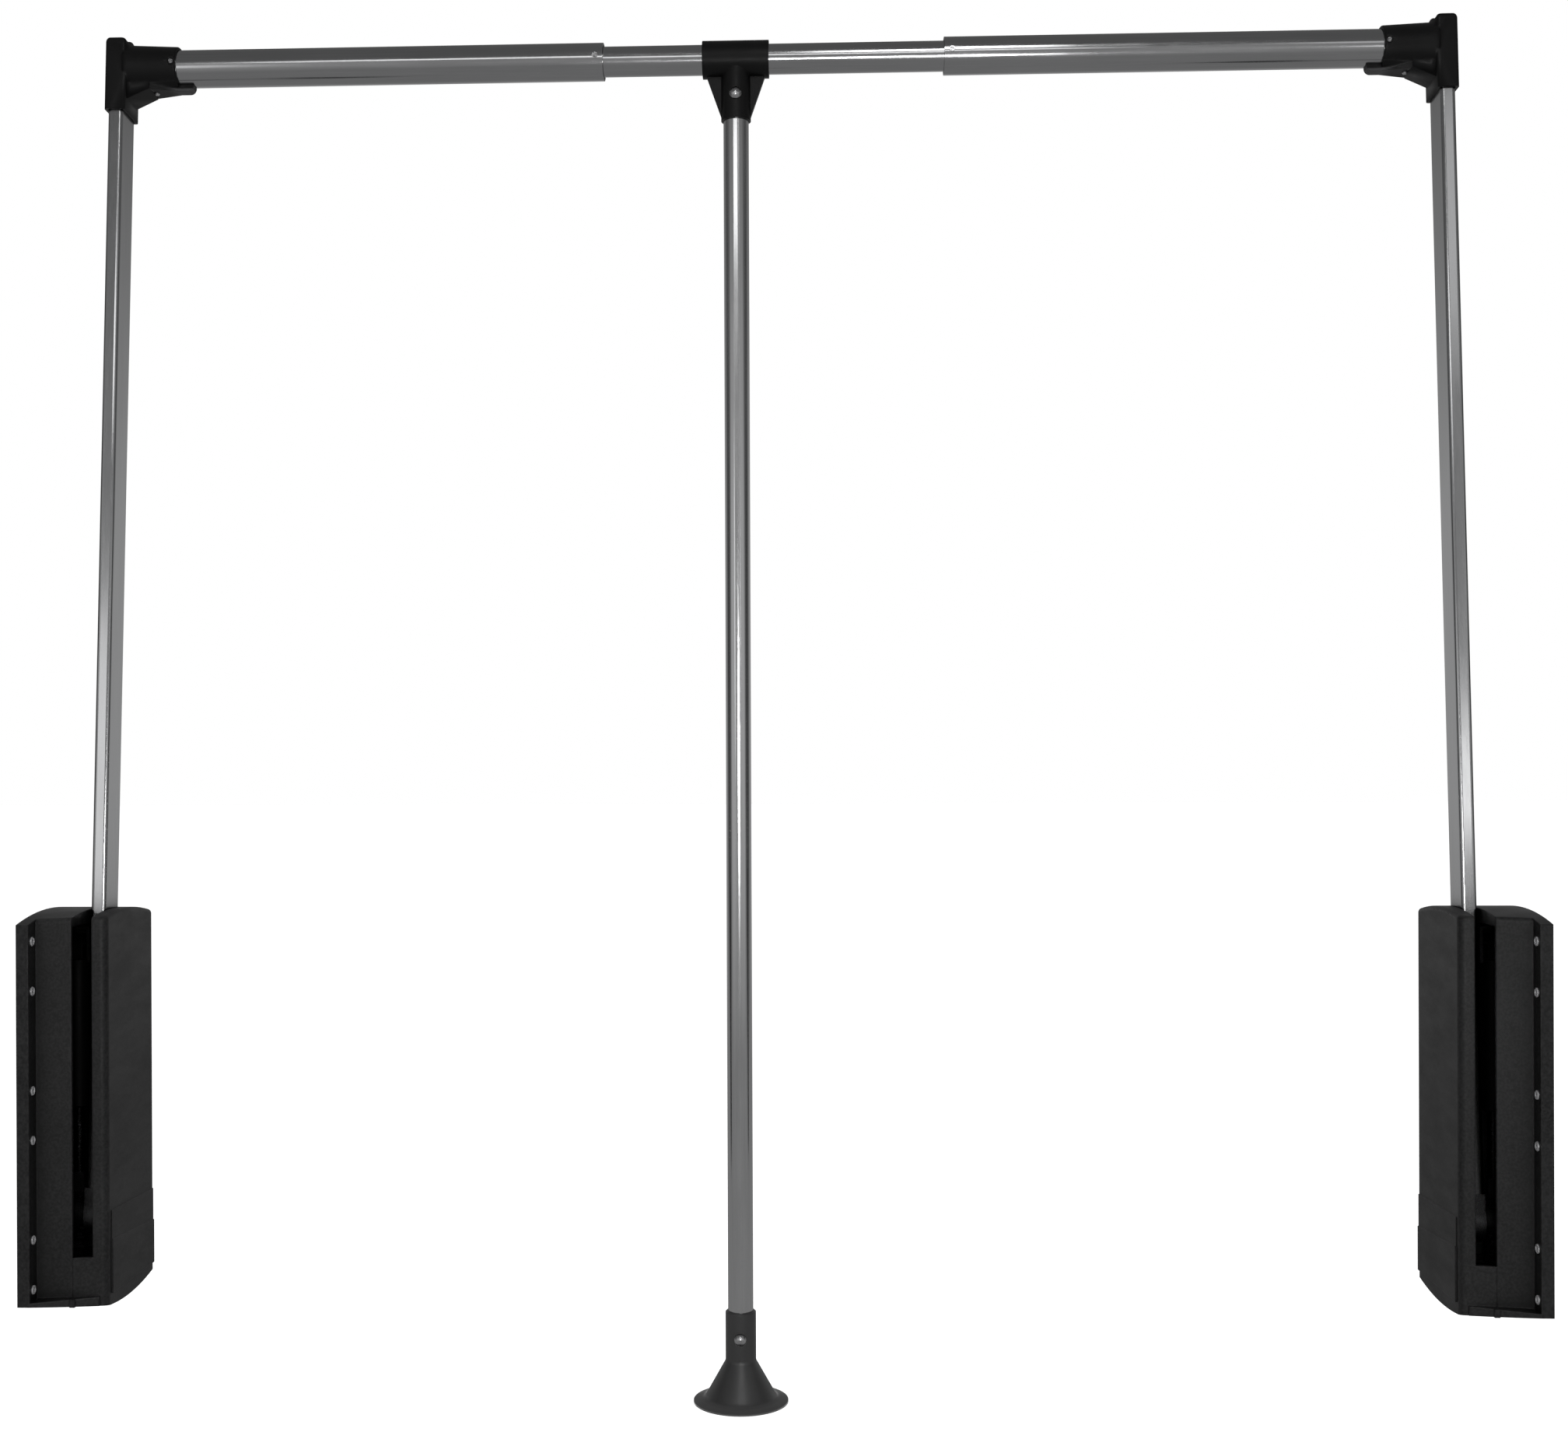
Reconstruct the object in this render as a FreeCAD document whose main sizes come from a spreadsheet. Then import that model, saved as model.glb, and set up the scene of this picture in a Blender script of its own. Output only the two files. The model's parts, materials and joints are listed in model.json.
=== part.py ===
"""Pull-down wardrobe lift: two wall casings, two swinging arms, a telescopic rail and a hanging handle.

Frame: X runs along the rail from the left mounting face (X = 0) to the right one, -Y faces the
person in front of the wardrobe and +Z is up. The origin is the point of the left mounting face
on the axis about which the arms turn. The arms stand up, leaning back by arm_lean.
"""

import FreeCAD, Part
import math
import os
import re
import Sketcher
from FreeCAD import Placement, Rotation, Vector

# Every driving dimension, in millimetres or degrees, as (name, value).
# Heights are above the arm pivot and depths are behind it, unless the name says otherwise.
SIZES = (
    # whole lift
    ("overall_width", 970.0),
    ("arm_lean", 4.0),
    ("rail_height", 776.0),
    ("slack", 0.1),
    # casing
    ("casing_thickness", 52.0),
    ("parting", 30.0),
    ("pivot_height", 51.0),
    ("casing_top", 194.0),
    ("dome_radius", 250.0),
    ("dome_room", 20.0),
    ("flange_thickness", 8.0),
    ("flange_front", 44.0),
    ("flange_back", 70.0),
    ("body_front", 32.0),
    ("body_front_inner", 25.0),
    ("body_back", 60.0),
    ("corner_radius", 5.0),
    ("corner_arc", 5.25),
    ("end_round", 3.0),
    ("wall", 2.4),
    ("end_wall", 2.7),
    ("slot_inner", 42.6),
    ("slot_back", 31.0),
    ("slot_bottom", 23.0),
    ("cover_inset", 6.0),
    ("ledge_proud", 0.6),
    ("ledge_back_height", 3.0),
    ("ledge_front_height", 6.0),
    ("cover_proud", 1.2),
    ("cover_back_height", -18.5),
    ("cover_front_height", -12.5),
    ("catch_width", 3.5),
    ("catch_depth", 6.0),
    ("catch_drop", 2.5),
    # mounting holes, two rows on the 32 mm raster
    ("raster", 32.0),
    ("lowest_hole", 41.0),
    ("front_row", 38.0),
    ("back_row", 64.0),
    ("eyelet_bore", 1.75),
    ("eyelet_radius", 2.3),
    ("eyelet_rim", 3.0),
    ("rim_height", 0.9),
    # casing screws
    ("boss_radius", 4.5),
    ("pilot_radius", 1.5),
    ("casing_screw_shank", 1.45),
    ("casing_screw_head", 3.0),
    ("casing_screw_hole", 1.8),
    ("counterbore_radius", 3.4),
    ("counterbore_depth", 3.0),
    ("casing_screw_length", 38.0),
    # steel chassis
    ("plate_start", 2.6),
    ("plate", 2.0),
    ("chassis_front", 14.0),
    ("chassis_back", 44.0),
    ("chassis_width", 45.6),
    ("chassis_foot", 40.0),
    ("chassis_top", 188.0),
    ("cheek_height", 20.0),
    ("anchor_cheek", 26.0),
    ("anchor_height", 176.0),
    ("anchor_drop", 12.0),
    ("lightening_radius", 9.0),
    # pivot
    ("shaft_radius", 5.0),
    ("shaft_flat", 4.0),
    ("shaft_end", 47.2),
    ("bush_bore", 5.05),
    ("bush_radius", 6.5),
    ("bush_flange_radius", 8.5),
    ("bush_flange", 1.5),
    ("groove_radius", 4.2),
    ("ring_width", 1.0),
    ("ring_radius", 7.5),
    # gear and rack
    ("gear_module", 2.0),
    ("gear_teeth", 20.0),
    ("sector_teeth", 8.0),
    ("rack_teeth", 8.0),
    ("pressure_angle", 20.0),
    ("backlash", 0.12),
    ("gear_start", 10.0),
    ("gear_thickness", 8.0),
    ("gear_hub_start", 6.6),
    ("gear_hub_end", 20.0),
    ("gear_hub_radius", 12.0),
    ("rack_back", 30.0),
    ("rack_foot", 43.0),
    ("rack_head_bottom", 12.0),
    ("rack_head_top", 22.0),
    ("guide_bottom", 16.0),
    ("guide_top", 6.0),
    ("guide_lip", 26.0),
    ("guide_back", 35.0),
    # gas spring
    ("spring_x", 14.0),
    ("spring_y", 26.0),
    ("cylinder_radius", 9.0),
    ("cylinder_bore", 7.5),
    ("cylinder_bottom", 66.0),
    ("cylinder_top", 166.0),
    ("gland", 6.0),
    ("rod_radius", 4.0),
    ("rod_top", 100.0),
    ("piston_radius", 7.3),
    ("piston_height", 6.0),
    ("eye_radius", 6.5),
    ("eye_width", 10.0),
    ("anchor_pin", 3.0),
    # arm
    ("arm_x", 36.5),
    ("arm_width", 10.0),
    ("arm_depth", 25.0),
    ("arm_wall", 1.5),
    ("arm_corner", 2.5),
    ("arm_start", 18.0),
    ("arm_end", 12.8),
    ("hub_radius", 14.0),
    ("hub_spacer_radius", 9.0),
    ("hub_spacer_start", 20.3),
    ("tongue_end", 62.0),
    ("rivet_radius", 2.5),
    ("rivet_low", 30.0),
    ("rivet_high", 50.0),
    # corner connector
    ("sleeve_wall", 2.0),
    ("sleeve_above", 16.4),
    ("sleeve_below", 32.4),
    ("sleeve_corner", 3.0),
    ("sleeve_shoulder", 7.0),
    ("socket_length", 34.0),
    ("socket_radius", 14.6),
    ("socket_root", 16.2),
    ("socket_edge", 1.2),
    ("gusset_start", 19.0),
    ("gusset_rise", 8.0),
    ("gusset_width", 20.0),
    ("lip_reach", 10.0),
    ("lip_width", 18.0),
    ("lip_drop", 16.8),
    # rail
    ("outer_tube_radius", 12.5),
    ("outer_tube_wall", 1.0),
    ("outer_tube_end", 369.5),
    ("inner_tube_radius", 10.0),
    ("inner_tube_wall", 1.2),
    ("inner_tube_length", 570.0),
    ("liner_length", 18.0),
    ("liner_wall", 1.43),
    ("lock_screw_inset", 5.0),
    ("lock_screw_radius", 2.0),
    # handle
    ("bracket_offset", 25.5),
    ("bracket_length", 45.0),
    ("bracket_radius", 12.5),
    ("bracket_bore", 10.1),
    ("bracket_drop", 42.0),
    ("bracket_shoulder", 12.0),
    ("bracket_web_top", 39.4),
    ("bracket_web_bottom", 18.0),
    ("bracket_web", 5.0),
    ("bracket_socket", 10.1),
    ("handle_radius", 8.6),
    ("handle_wall", 1.0),
    ("handle_top", 16.0),
    ("handle_length", 865.0),
    ("bracket_screw_drop", 25.5),
    ("foot_collar", 34.0),
    ("foot_collar_radius", 10.4),
    ("foot_height", 62.0),
    ("foot_bell_top", 11.4),
    ("foot_bell_bottom", 24.2),
    ("foot_disc_radius", 32.2),
    ("foot_disc", 2.6),
    ("foot_wall", 2.2),
    ("foot_socket_depth", 30.0),
    ("foot_rib", 2.0),
    ("foot_rib_reach", 17.0),
    ("foot_rib_height", 10.0),
    ("foot_screw_drop", 17.8),
    # screws of the handle and the connectors
    ("dome_head", 4.1),
    ("dome_height", 2.6),
    ("dome_flat", 0.6),
    ("dome_shank", 2.0),
    ("small_head", 1.7),
    ("small_height", 1.2),
    ("small_shank", 1.1),
    ("small_length", 4.0),
    ("small_seat", 0.3),
    ("dome_seat", 0.8),
)
VALUES = dict(SIZES)
HOLE_STEPS = (0, 1, 3, 4, 6, 7)  # raster steps of the mounting holes above the lowest one
BOSS_PLACES = ((51.5, -40), (51.5, 72), (51.5, 180), (-19, -38))  # depth and height of each casing screw

document = FreeCAD.newDocument("wardrobe_lift")


# ---------------------------------------------------------------- the sheet and its expressions


def make_sheet():
    """The spreadsheet that holds every driving dimension."""
    sheet = document.addObject("Spreadsheet::Sheet", "sizes")
    for row, (name, value) in enumerate(SIZES, start=1):
        sheet.set(f"A{row}", name)
        sheet.set(f"B{row}", str(value))
        sheet.setAlias(f"B{row}", name)
    document.recompute()


def named(expression):
    """The expression with the name of each size pointing at its cell."""

    def point(word):
        return "sizes." + word.group() if word.group() in VALUES else word.group()

    return re.sub(r"[a-z_]{4,}", point, str(expression))


def number(expression):
    """What the expression comes to, in millimetres."""
    return float(document.getObject("sizes").evalExpression(named(expression)))


# ---------------------------------------------------------------- sketches


def make_body(label):
    """An empty PartDesign body."""
    body = document.addObject("PartDesign::Body", label)
    body.Label = label
    return body


def make_sketch(body, name, role, level="0"):
    """A sketch on one of the body's own origin planes, moved along its normal to the level."""
    sketch = body.newObject("Sketcher::SketchObject", name)
    plane = next(item for item in body.Origin.OriginFeatures if item.Role == role)
    sketch.AttachmentSupport = [(plane, "")]
    sketch.MapMode = "FlatFace"
    sketch.setExpression("AttachmentOffset.Base.z", named(level))
    return sketch


def tie(sketch, geometry, point, x, y):
    """Holds a point of the sketch at two expressions."""
    for kind, expression in (("DistanceX", x), ("DistanceY", y)):
        constraint = Sketcher.Constraint(kind, -1, 1, geometry, point, number(expression))
        index = sketch.addConstraint(constraint)
        sketch.setExpression(f"Constraints[{index}]", named(expression))


def arc_between(start, end, radius):
    """The minor arc that leaves start anticlockwise, seen from its centre, and reaches end."""
    chord = end - start
    height = math.sqrt(radius**2 - (chord.Length / 2) ** 2)
    centre = (start + end) / 2 + Vector(-chord.y, chord.x, 0).normalize() * height
    first = math.atan2(start.y - centre.y, start.x - centre.x)
    last = math.atan2(end.y - centre.y, end.x - centre.x)
    return Part.ArcOfCircle(Part.Circle(centre, Vector(0, 0, 1), radius), first, last)


def outline(sketch, corners):
    """A closed outline, anticlockwise. A third item in a corner is the radius of the convex arc
    that leaves it; a negative one makes the arc concave."""
    spots = [Vector(number(corner[0]), number(corner[1]), 0) for corner in corners]
    first = sketch.GeometryCount
    count = len(corners)
    ends = []
    for step, corner in enumerate(corners):
        start = spots[step]
        end = spots[(step + 1) % count]
        if len(corner) == 2:
            sketch.addGeometry(Part.LineSegment(start, end))
            ends.append((1, 2))
            continue
        radius = number(corner[2])
        if radius > 0:
            index = sketch.addGeometry(arc_between(start, end, radius))
            ends.append((1, 2))
        else:
            index = sketch.addGeometry(arc_between(end, start, -radius))
            ends.append((2, 1))
        constraint = sketch.addConstraint(Sketcher.Constraint("Radius", index, abs(radius)))
        sketch.setExpression(f"Constraints[{constraint}]", named(f"abs({corner[2]})"))
    for step in range(count):
        following = (step + 1) % count
        sketch.addConstraint(
            Sketcher.Constraint("Coincident", first + step, ends[step][1], first + following, ends[following][0])
        )
    for step, corner in enumerate(corners):
        tie(sketch, first + step, ends[step][0], corner[0], corner[1])


def rectangle(sketch, left, bottom, right, top):
    """A rectangle between four expressions."""
    outline(sketch, [(left, bottom), (right, bottom), (right, top), (left, top)])


def circle(sketch, x, y, radius):
    """A full circle."""
    index = sketch.addGeometry(Part.Circle(Vector(number(x), number(y), 0), Vector(0, 0, 1), number(radius)))
    tie(sketch, index, 3, x, y)
    constraint = sketch.addConstraint(Sketcher.Constraint("Radius", index, number(radius)))
    sketch.setExpression(f"Constraints[{constraint}]", named(radius))


# ---------------------------------------------------------------- features


def pad(body, sketch, length):
    """Adds material from the sketch along its normal."""
    feature = body.newObject("PartDesign::Pad", sketch.Name + "_pad")
    feature.Profile = sketch
    feature.setExpression("Length", named(length))
    return feature


def cut(body, sketch, length):
    """Removes material from the sketch along its normal, and checks that it did."""
    document.recompute()
    before = body.Shape.Volume
    feature = body.newObject("PartDesign::Pocket", sketch.Name + "_cut")
    feature.Profile = sketch
    feature.Reversed = True
    feature.setExpression("Length", named(length))
    document.recompute()
    if body.Shape.Volume > before - 1e-3:
        raise RuntimeError(f"{body.Label}: {sketch.Name} cuts nothing")
    return feature


def turn(body, sketch, axis):
    """A solid of revolution of the sketch about one of its own axes."""
    feature = body.newObject("PartDesign::Revolution", sketch.Name + "_turn")
    feature.Profile = sketch
    feature.ReferenceAxis = (sketch, [axis])
    feature.Angle = 360
    return feature


def round_edges(body, name, radius, chosen):
    """Fillets the edges of the body that the test chooses."""
    document.recompute()
    base = body.Tip
    edges = [f"Edge{place}" for place, edge in enumerate(base.Shape.Edges, start=1) if chosen(edge)]
    feature = body.newObject("PartDesign::Fillet", name)
    feature.Base = (base, edges)
    feature.setExpression("Radius", named(radius))
    return feature


def runs_along(edge, axis, least):
    """Whether the edge is straight, parallel to the axis and at least this long."""
    if edge.Curve.TypeId != "Part::GeomLine" or edge.Length < least:
        return False
    return abs(edge.Curve.Direction.dot(axis)) > 0.999


def repeat(label, source, placements):
    """One node made of the source's solid at each placement."""
    links = []
    for place, placement in enumerate(placements):
        link = document.addObject("App::Link", f"{label}_{place}")
        link.LinkedObject = source
        link.Placement = placement
        links.append(link)
    group = document.addObject("Part::Compound", label)
    group.Links = links
    group.Label = label
    return group


def mirror(source):
    """The right-hand twin of a left-hand sub-part."""
    label = source.Label.replace("left_", "right_")
    twin = document.addObject("Part::Mirroring", label)
    twin.Source = source
    twin.Normal = Vector(1, 0, 0)
    twin.setExpression("Base.x", named("overall_width / 2"))
    twin.Label = label
    return twin


def leaned():
    """The placement of everything that is modelled along an upright arm."""
    return Placement(Vector(0, 0, 0), Rotation(Vector(1, 0, 0), -number("arm_lean")))


def at_rail(x):
    """The placement of a piece of the handle, modelled about the rail's axis."""
    lean = math.radians(number("arm_lean"))
    height = number("rail_height")
    return Placement(Vector(number(x), height * math.sin(lean), height * math.cos(lean)), Rotation())


# ---------------------------------------------------------------- casing

# The casing's front slopes back from the flange to the inner side.
FRONT_SLOPE = "((body_front - body_front_inner) / (casing_thickness - flange_thickness))"
FRONT_AT_PARTING = f"(-body_front + (parting - flange_thickness) * {FRONT_SLOPE})"
LIP_SLOPE = "((flange_front - body_front_inner) / (casing_thickness - flange_thickness))"
LIP_AT_PARTING = f"(-flange_front + (parting - flange_thickness) * {LIP_SLOPE})"
CORNER_START = f"(-body_front_inner - corner_radius * {FRONT_SLOPE})"


def trim_ends(body):
    """Trims the casing to its side view: upright flange edges and ends that swell outwards."""
    sketch = make_sketch(body, "side_view", "YZ_Plane", "-1")
    rectangle(
        sketch,
        "-flange_front - dome_room",
        "-pivot_height - 2 * dome_room",
        "flange_back + dome_room",
        "casing_top + 2 * dome_room",
    )
    outline(
        sketch,
        [
            ("-flange_front", "-pivot_height", "dome_radius"),
            ("flange_back", "-pivot_height"),
            ("flange_back", "casing_top", "dome_radius"),
            ("-flange_front", "casing_top"),
        ],
    )
    cut(body, sketch, "casing_thickness + 2")


def round_top(body):
    """Rounds the edges round the casing's top, apart from those on the parting and the mounting face."""
    parting = number("parting")
    top = number("casing_top")
    back = number("body_back")

    def is_outer(edge):
        box = edge.BoundBox
        if box.ZMin < top - 1 or box.YMin > back - 1 or box.YMax < -number("body_front") - 1:
            return False
        return box.XMax > number("flange_thickness") + 1 and not abs(box.XMin + box.XMax - 2 * parting) < 0.1

    round_edges(body, "top_edges", "end_round", is_outer)


def add_foot_lip(body, corners):
    """Closes the screw channel in front of the casing at its foot."""
    sketch = make_sketch(body, "foot_lip", "XY_Plane", "-pivot_height - dome_room")
    outline(sketch, corners)
    pad(body, sketch, "dome_room + end_wall")


def hole_heights():
    """The height of each mounting hole."""
    return [f"(-lowest_hole + {step} * raster)" for step in HOLE_STEPS]


def outer_shell():
    """The half of the casing against the wardrobe's side, with both mounting flanges."""
    body = make_body("left_outer_shell")
    plan = make_sketch(body, "plan", "XY_Plane", "-pivot_height - dome_room")
    outline(
        plan,
        [
            ("0", "-flange_front"),
            ("flange_thickness", "-flange_front"),
            ("flange_thickness", "-body_front"),
            ("parting", FRONT_AT_PARTING),
            ("parting", "body_back"),
            ("flange_thickness", "body_back"),
            ("flange_thickness", "flange_back"),
            ("0", "flange_back"),
        ],
    )
    pad(body, plan, "pivot_height + casing_top + 2 * dome_room")
    add_foot_lip(
        body,
        [
            ("flange_thickness", "-flange_front"),
            ("parting", LIP_AT_PARTING),
            ("parting", FRONT_AT_PARTING),
            ("flange_thickness", "-body_front"),
        ],
    )
    trim_ends(body)
    round_top(body)
    cavity = make_sketch(body, "cavity", "XY_Plane", "-pivot_height + end_wall")
    outline(
        cavity,
        [
            ("wall", "-body_front + wall"),
            ("parting", f"{FRONT_AT_PARTING} + wall"),
            ("parting", "body_back - wall"),
            ("wall", "body_back - wall"),
        ],
    )
    cut(body, cavity, "pivot_height + casing_top - 2 * end_wall")
    bosses = make_sketch(body, "bosses", "YZ_Plane", "wall")
    for depth, height in BOSS_PLACES:
        circle(bosses, depth, height, "boss_radius")
    pad(body, bosses, "parting - wall")
    holes = make_sketch(body, "screw_holes", "YZ_Plane", "0")
    heads = make_sketch(body, "head_recesses", "YZ_Plane", "0")
    for depth, height in BOSS_PLACES:
        circle(holes, depth, height, "casing_screw_hole")
        circle(heads, depth, height, "counterbore_radius")
    cut(body, holes, "parting")
    cut(body, heads, "counterbore_depth")
    mounting = make_sketch(body, "mounting_holes", "YZ_Plane", "0")
    for height in hole_heights():
        circle(mounting, "-front_row", height, "eyelet_radius + slack / 2")
        circle(mounting, "back_row", height, "eyelet_radius + slack / 2")
    cut(body, mounting, "flange_thickness")
    return body


def inner_shell():
    """The half of the casing towards the clothes, with the slot that the arm swings through."""
    body = make_body("left_inner_shell")
    plan = make_sketch(body, "plan", "XY_Plane", "-pivot_height - dome_room")
    outline(
        plan,
        [
            ("parting", FRONT_AT_PARTING),
            ("casing_thickness - corner_radius", CORNER_START, "corner_arc"),
            ("casing_thickness", "-body_front_inner + corner_radius"),
            ("casing_thickness", "body_back"),
            ("parting", "body_back"),
        ],
    )
    pad(body, plan, "pivot_height + casing_top + 2 * dome_room")
    add_foot_lip(
        body,
        [
            ("parting", LIP_AT_PARTING),
            ("casing_thickness - corner_radius", f"-body_front_inner - corner_radius * {LIP_SLOPE}"),
            ("casing_thickness - corner_radius", CORNER_START),
            ("parting", FRONT_AT_PARTING),
        ],
    )
    trim_ends(body)
    round_top(body)
    cavity = make_sketch(body, "cavity", "XY_Plane", "-pivot_height + end_wall")
    outline(
        cavity,
        [
            ("parting", f"{FRONT_AT_PARTING} + wall"),
            ("casing_thickness - wall", "-body_front_inner + corner_radius"),
            ("casing_thickness - wall", "body_back - wall"),
            ("parting", "body_back - wall"),
        ],
    )
    cut(body, cavity, "pivot_height + casing_top - 2 * end_wall")
    bosses = make_sketch(body, "bosses", "YZ_Plane", "parting")
    for depth, height in BOSS_PLACES:
        circle(bosses, depth, height, "boss_radius")
    pad(body, bosses, "casing_thickness - wall - parting")
    slot = make_sketch(body, "slot", "YZ_Plane", "parting")
    rectangle(slot, "-flange_front", "-slot_bottom", "slot_back", "casing_top + dome_room")
    cut(body, slot, "slot_inner - parting")
    pilots = make_sketch(body, "pilot_holes", "YZ_Plane", "parting")
    for depth, height in BOSS_PLACES:
        circle(pilots, depth, height, "pilot_radius")
    cut(body, pilots, "casing_screw_length - parting + counterbore_depth")
    for name in ("ledge", "cover"):
        raised = make_sketch(body, f"pivot_{name}", "YZ_Plane", "casing_thickness - wall")
        outline(
            raised,
            [
                ("-body_front_inner + cover_inset", "-pivot_height + cover_inset / 2"),
                ("body_back", "-pivot_height + cover_inset / 2"),
                ("body_back", f"{name}_back_height"),
                ("-body_front_inner + cover_inset", f"{name}_front_height"),
            ],
        )
        pad(body, raised, f"wall + {name}_proud")
    catch = make_sketch(body, "catch", "YZ_Plane", "parting")
    rectangle(
        catch,
        LIP_AT_PARTING,
        "-pivot_height - catch_drop",
        f"{LIP_AT_PARTING} + catch_depth",
        "-pivot_height + end_wall",
    )
    pad(body, catch, "catch_width")
    return body


def mounting_eyelets():
    """The steel eyelets that line the mounting holes in both flanges."""
    body = make_body("eyelet")
    sketch = make_sketch(body, "profile", "XZ_Plane")
    outline(
        sketch,
        [
            ("eyelet_bore", "0"),
            ("eyelet_radius", "0"),
            ("eyelet_radius", "flange_thickness"),
            ("eyelet_rim", "flange_thickness"),
            ("eyelet_rim", "flange_thickness + rim_height / 2"),
            ("eyelet_rim - rim_height / 2", "flange_thickness + rim_height"),
            ("eyelet_bore + rim_height / 2", "flange_thickness + rim_height"),
            ("eyelet_bore", "flange_thickness + rim_height / 2"),
        ],
    )
    turn(body, sketch, "V_Axis")
    upright = Rotation(Vector(0, 0, 1), Vector(1, 0, 0))
    placements = []
    for height in hole_heights():
        placements.append(Placement(Vector(0, -number("front_row"), number(height)), upright))
        placements.append(Placement(Vector(0, number("back_row"), number(height)), upright))
    return repeat("left_mounting_eyelets", body, placements)


def casing_screws():
    """The self-tapping screws that hold the two halves of the casing together."""
    body = make_body("casing_screw")
    sketch = make_sketch(body, "profile", "XZ_Plane")
    outline(
        sketch,
        [
            ("0", "0.8"),
            ("casing_screw_head", "0.8"),
            ("casing_screw_head", "counterbore_depth"),
            ("casing_screw_shank", "counterbore_depth"),
            ("casing_screw_shank", "casing_screw_length - 2"),
            ("0", "casing_screw_length"),
        ],
    )
    turn(body, sketch, "V_Axis")
    drive = make_sketch(body, "drive", "XY_Plane", "0")
    rectangle(drive, "-casing_screw_head * 0.7", "-0.4", "casing_screw_head * 0.7", "0.4")
    cut(body, drive, "counterbore_depth * 0.6")
    upright = Rotation(Vector(0, 0, 1), Vector(1, 0, 0))
    placements = [Placement(Vector(0, depth, height), upright) for depth, height in BOSS_PLACES]
    return repeat("left_casing_screws", body, placements)


# ---------------------------------------------------------------- chassis and pivot


def chassis():
    """The folded steel plate that carries the pivot shaft and anchors the gas spring."""
    body = make_body("left_chassis")
    fold = make_sketch(body, "fold", "XZ_Plane", "-chassis_back")
    outline(
        fold,
        [
            ("plate_start", "-chassis_foot"),
            ("chassis_width", "-chassis_foot"),
            ("chassis_width", "cheek_height"),
            ("chassis_width - plate", "cheek_height"),
            ("chassis_width - plate", "-chassis_foot + plate"),
            ("plate_start + plate", "-chassis_foot + plate"),
            ("plate_start + plate", "chassis_top - plate"),
            ("anchor_cheek - plate", "chassis_top - plate"),
            ("anchor_cheek - plate", "anchor_height - anchor_drop"),
            ("anchor_cheek", "anchor_height - anchor_drop"),
            ("anchor_cheek", "chassis_top"),
            ("plate_start", "chassis_top"),
        ],
    )
    pad(body, fold, "chassis_front + chassis_back")
    behind_cheek = make_sketch(body, "behind_cheek", "XY_Plane", "-chassis_foot")
    rectangle(behind_cheek, "plate_start + plate", "chassis_front", "chassis_width + 1", "chassis_back + 1")
    cut(body, behind_cheek, "chassis_foot + cheek_height + 1")
    before_anchor = make_sketch(body, "before_anchor", "XY_Plane", "anchor_height - anchor_drop - 1")
    rectangle(
        before_anchor,
        "plate_start + plate",
        "-chassis_front - 1",
        "anchor_cheek + 1",
        "spring_y - anchor_drop",
    )
    cut(body, before_anchor, "2 * anchor_drop + 3")
    bores = make_sketch(body, "pivot_bores", "YZ_Plane", "plate_start")
    circle(bores, "0", "0", "bush_radius")
    cut(body, bores, "chassis_width")
    anchor = make_sketch(body, "anchor_bores", "YZ_Plane", "plate_start")
    circle(anchor, "spring_y", "anchor_height", "anchor_pin + slack / 2")
    cut(body, anchor, "anchor_cheek")
    windows = make_sketch(body, "lightening_holes", "YZ_Plane", "plate_start")
    for step in range(3):
        circle(windows, "0", f"{step} * 1.5 * raster + 50", "lightening_radius")
    cut(body, windows, "plate")
    folds = (
        (number("plate_start"), -number("chassis_foot")),
        (number("chassis_width"), -number("chassis_foot")),
        (number("plate_start"), number("chassis_top")),
        (number("anchor_cheek"), number("chassis_top")),
    )

    def is_fold(edge):
        if not runs_along(edge, Vector(0, 1, 0), 10):
            return False
        middle = edge.CenterOfMass
        return any(math.hypot(middle.x - x, middle.z - z) < 0.01 for x, z in folds)

    round_edges(body, "fold_radii", "plate - slack", is_fold)
    return body


def pivot_bushes():
    """The two flanged plastic bushes that the pivot shaft turns in."""
    body = make_body("bush")
    sketch = make_sketch(body, "profile", "XZ_Plane")
    outline(
        sketch,
        [
            ("bush_bore", "0"),
            ("bush_radius - slack / 2", "0"),
            ("bush_radius - slack / 2", "plate"),
            ("bush_flange_radius", "plate"),
            ("bush_flange_radius", "plate + bush_flange"),
            ("bush_bore", "plate + bush_flange"),
        ],
    )
    turn(body, sketch, "V_Axis")
    outward = Placement(Vector(number("plate_start"), 0, 0), Rotation(Vector(0, 0, 1), Vector(1, 0, 0)))
    inward = Placement(Vector(number("chassis_width"), 0, 0), Rotation(Vector(0, 0, 1), Vector(-1, 0, 0)))
    return repeat("left_pivot_bushes", body, [outward, inward])


def double_d(sketch, room):
    """A round section with two flats, which keys the pivot shaft to what turns with it."""
    radius = f"(shaft_radius + {room})"
    flat = f"(shaft_flat + {room})"
    half = f"sqrt({radius} ^ 2 - {flat} ^ 2)"
    outline(
        sketch,
        [
            (flat, f"-{half}"),
            (flat, half, radius),
            (f"-{flat}", half),
            (f"-{flat}", f"-{half}", radius),
        ],
    )


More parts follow.
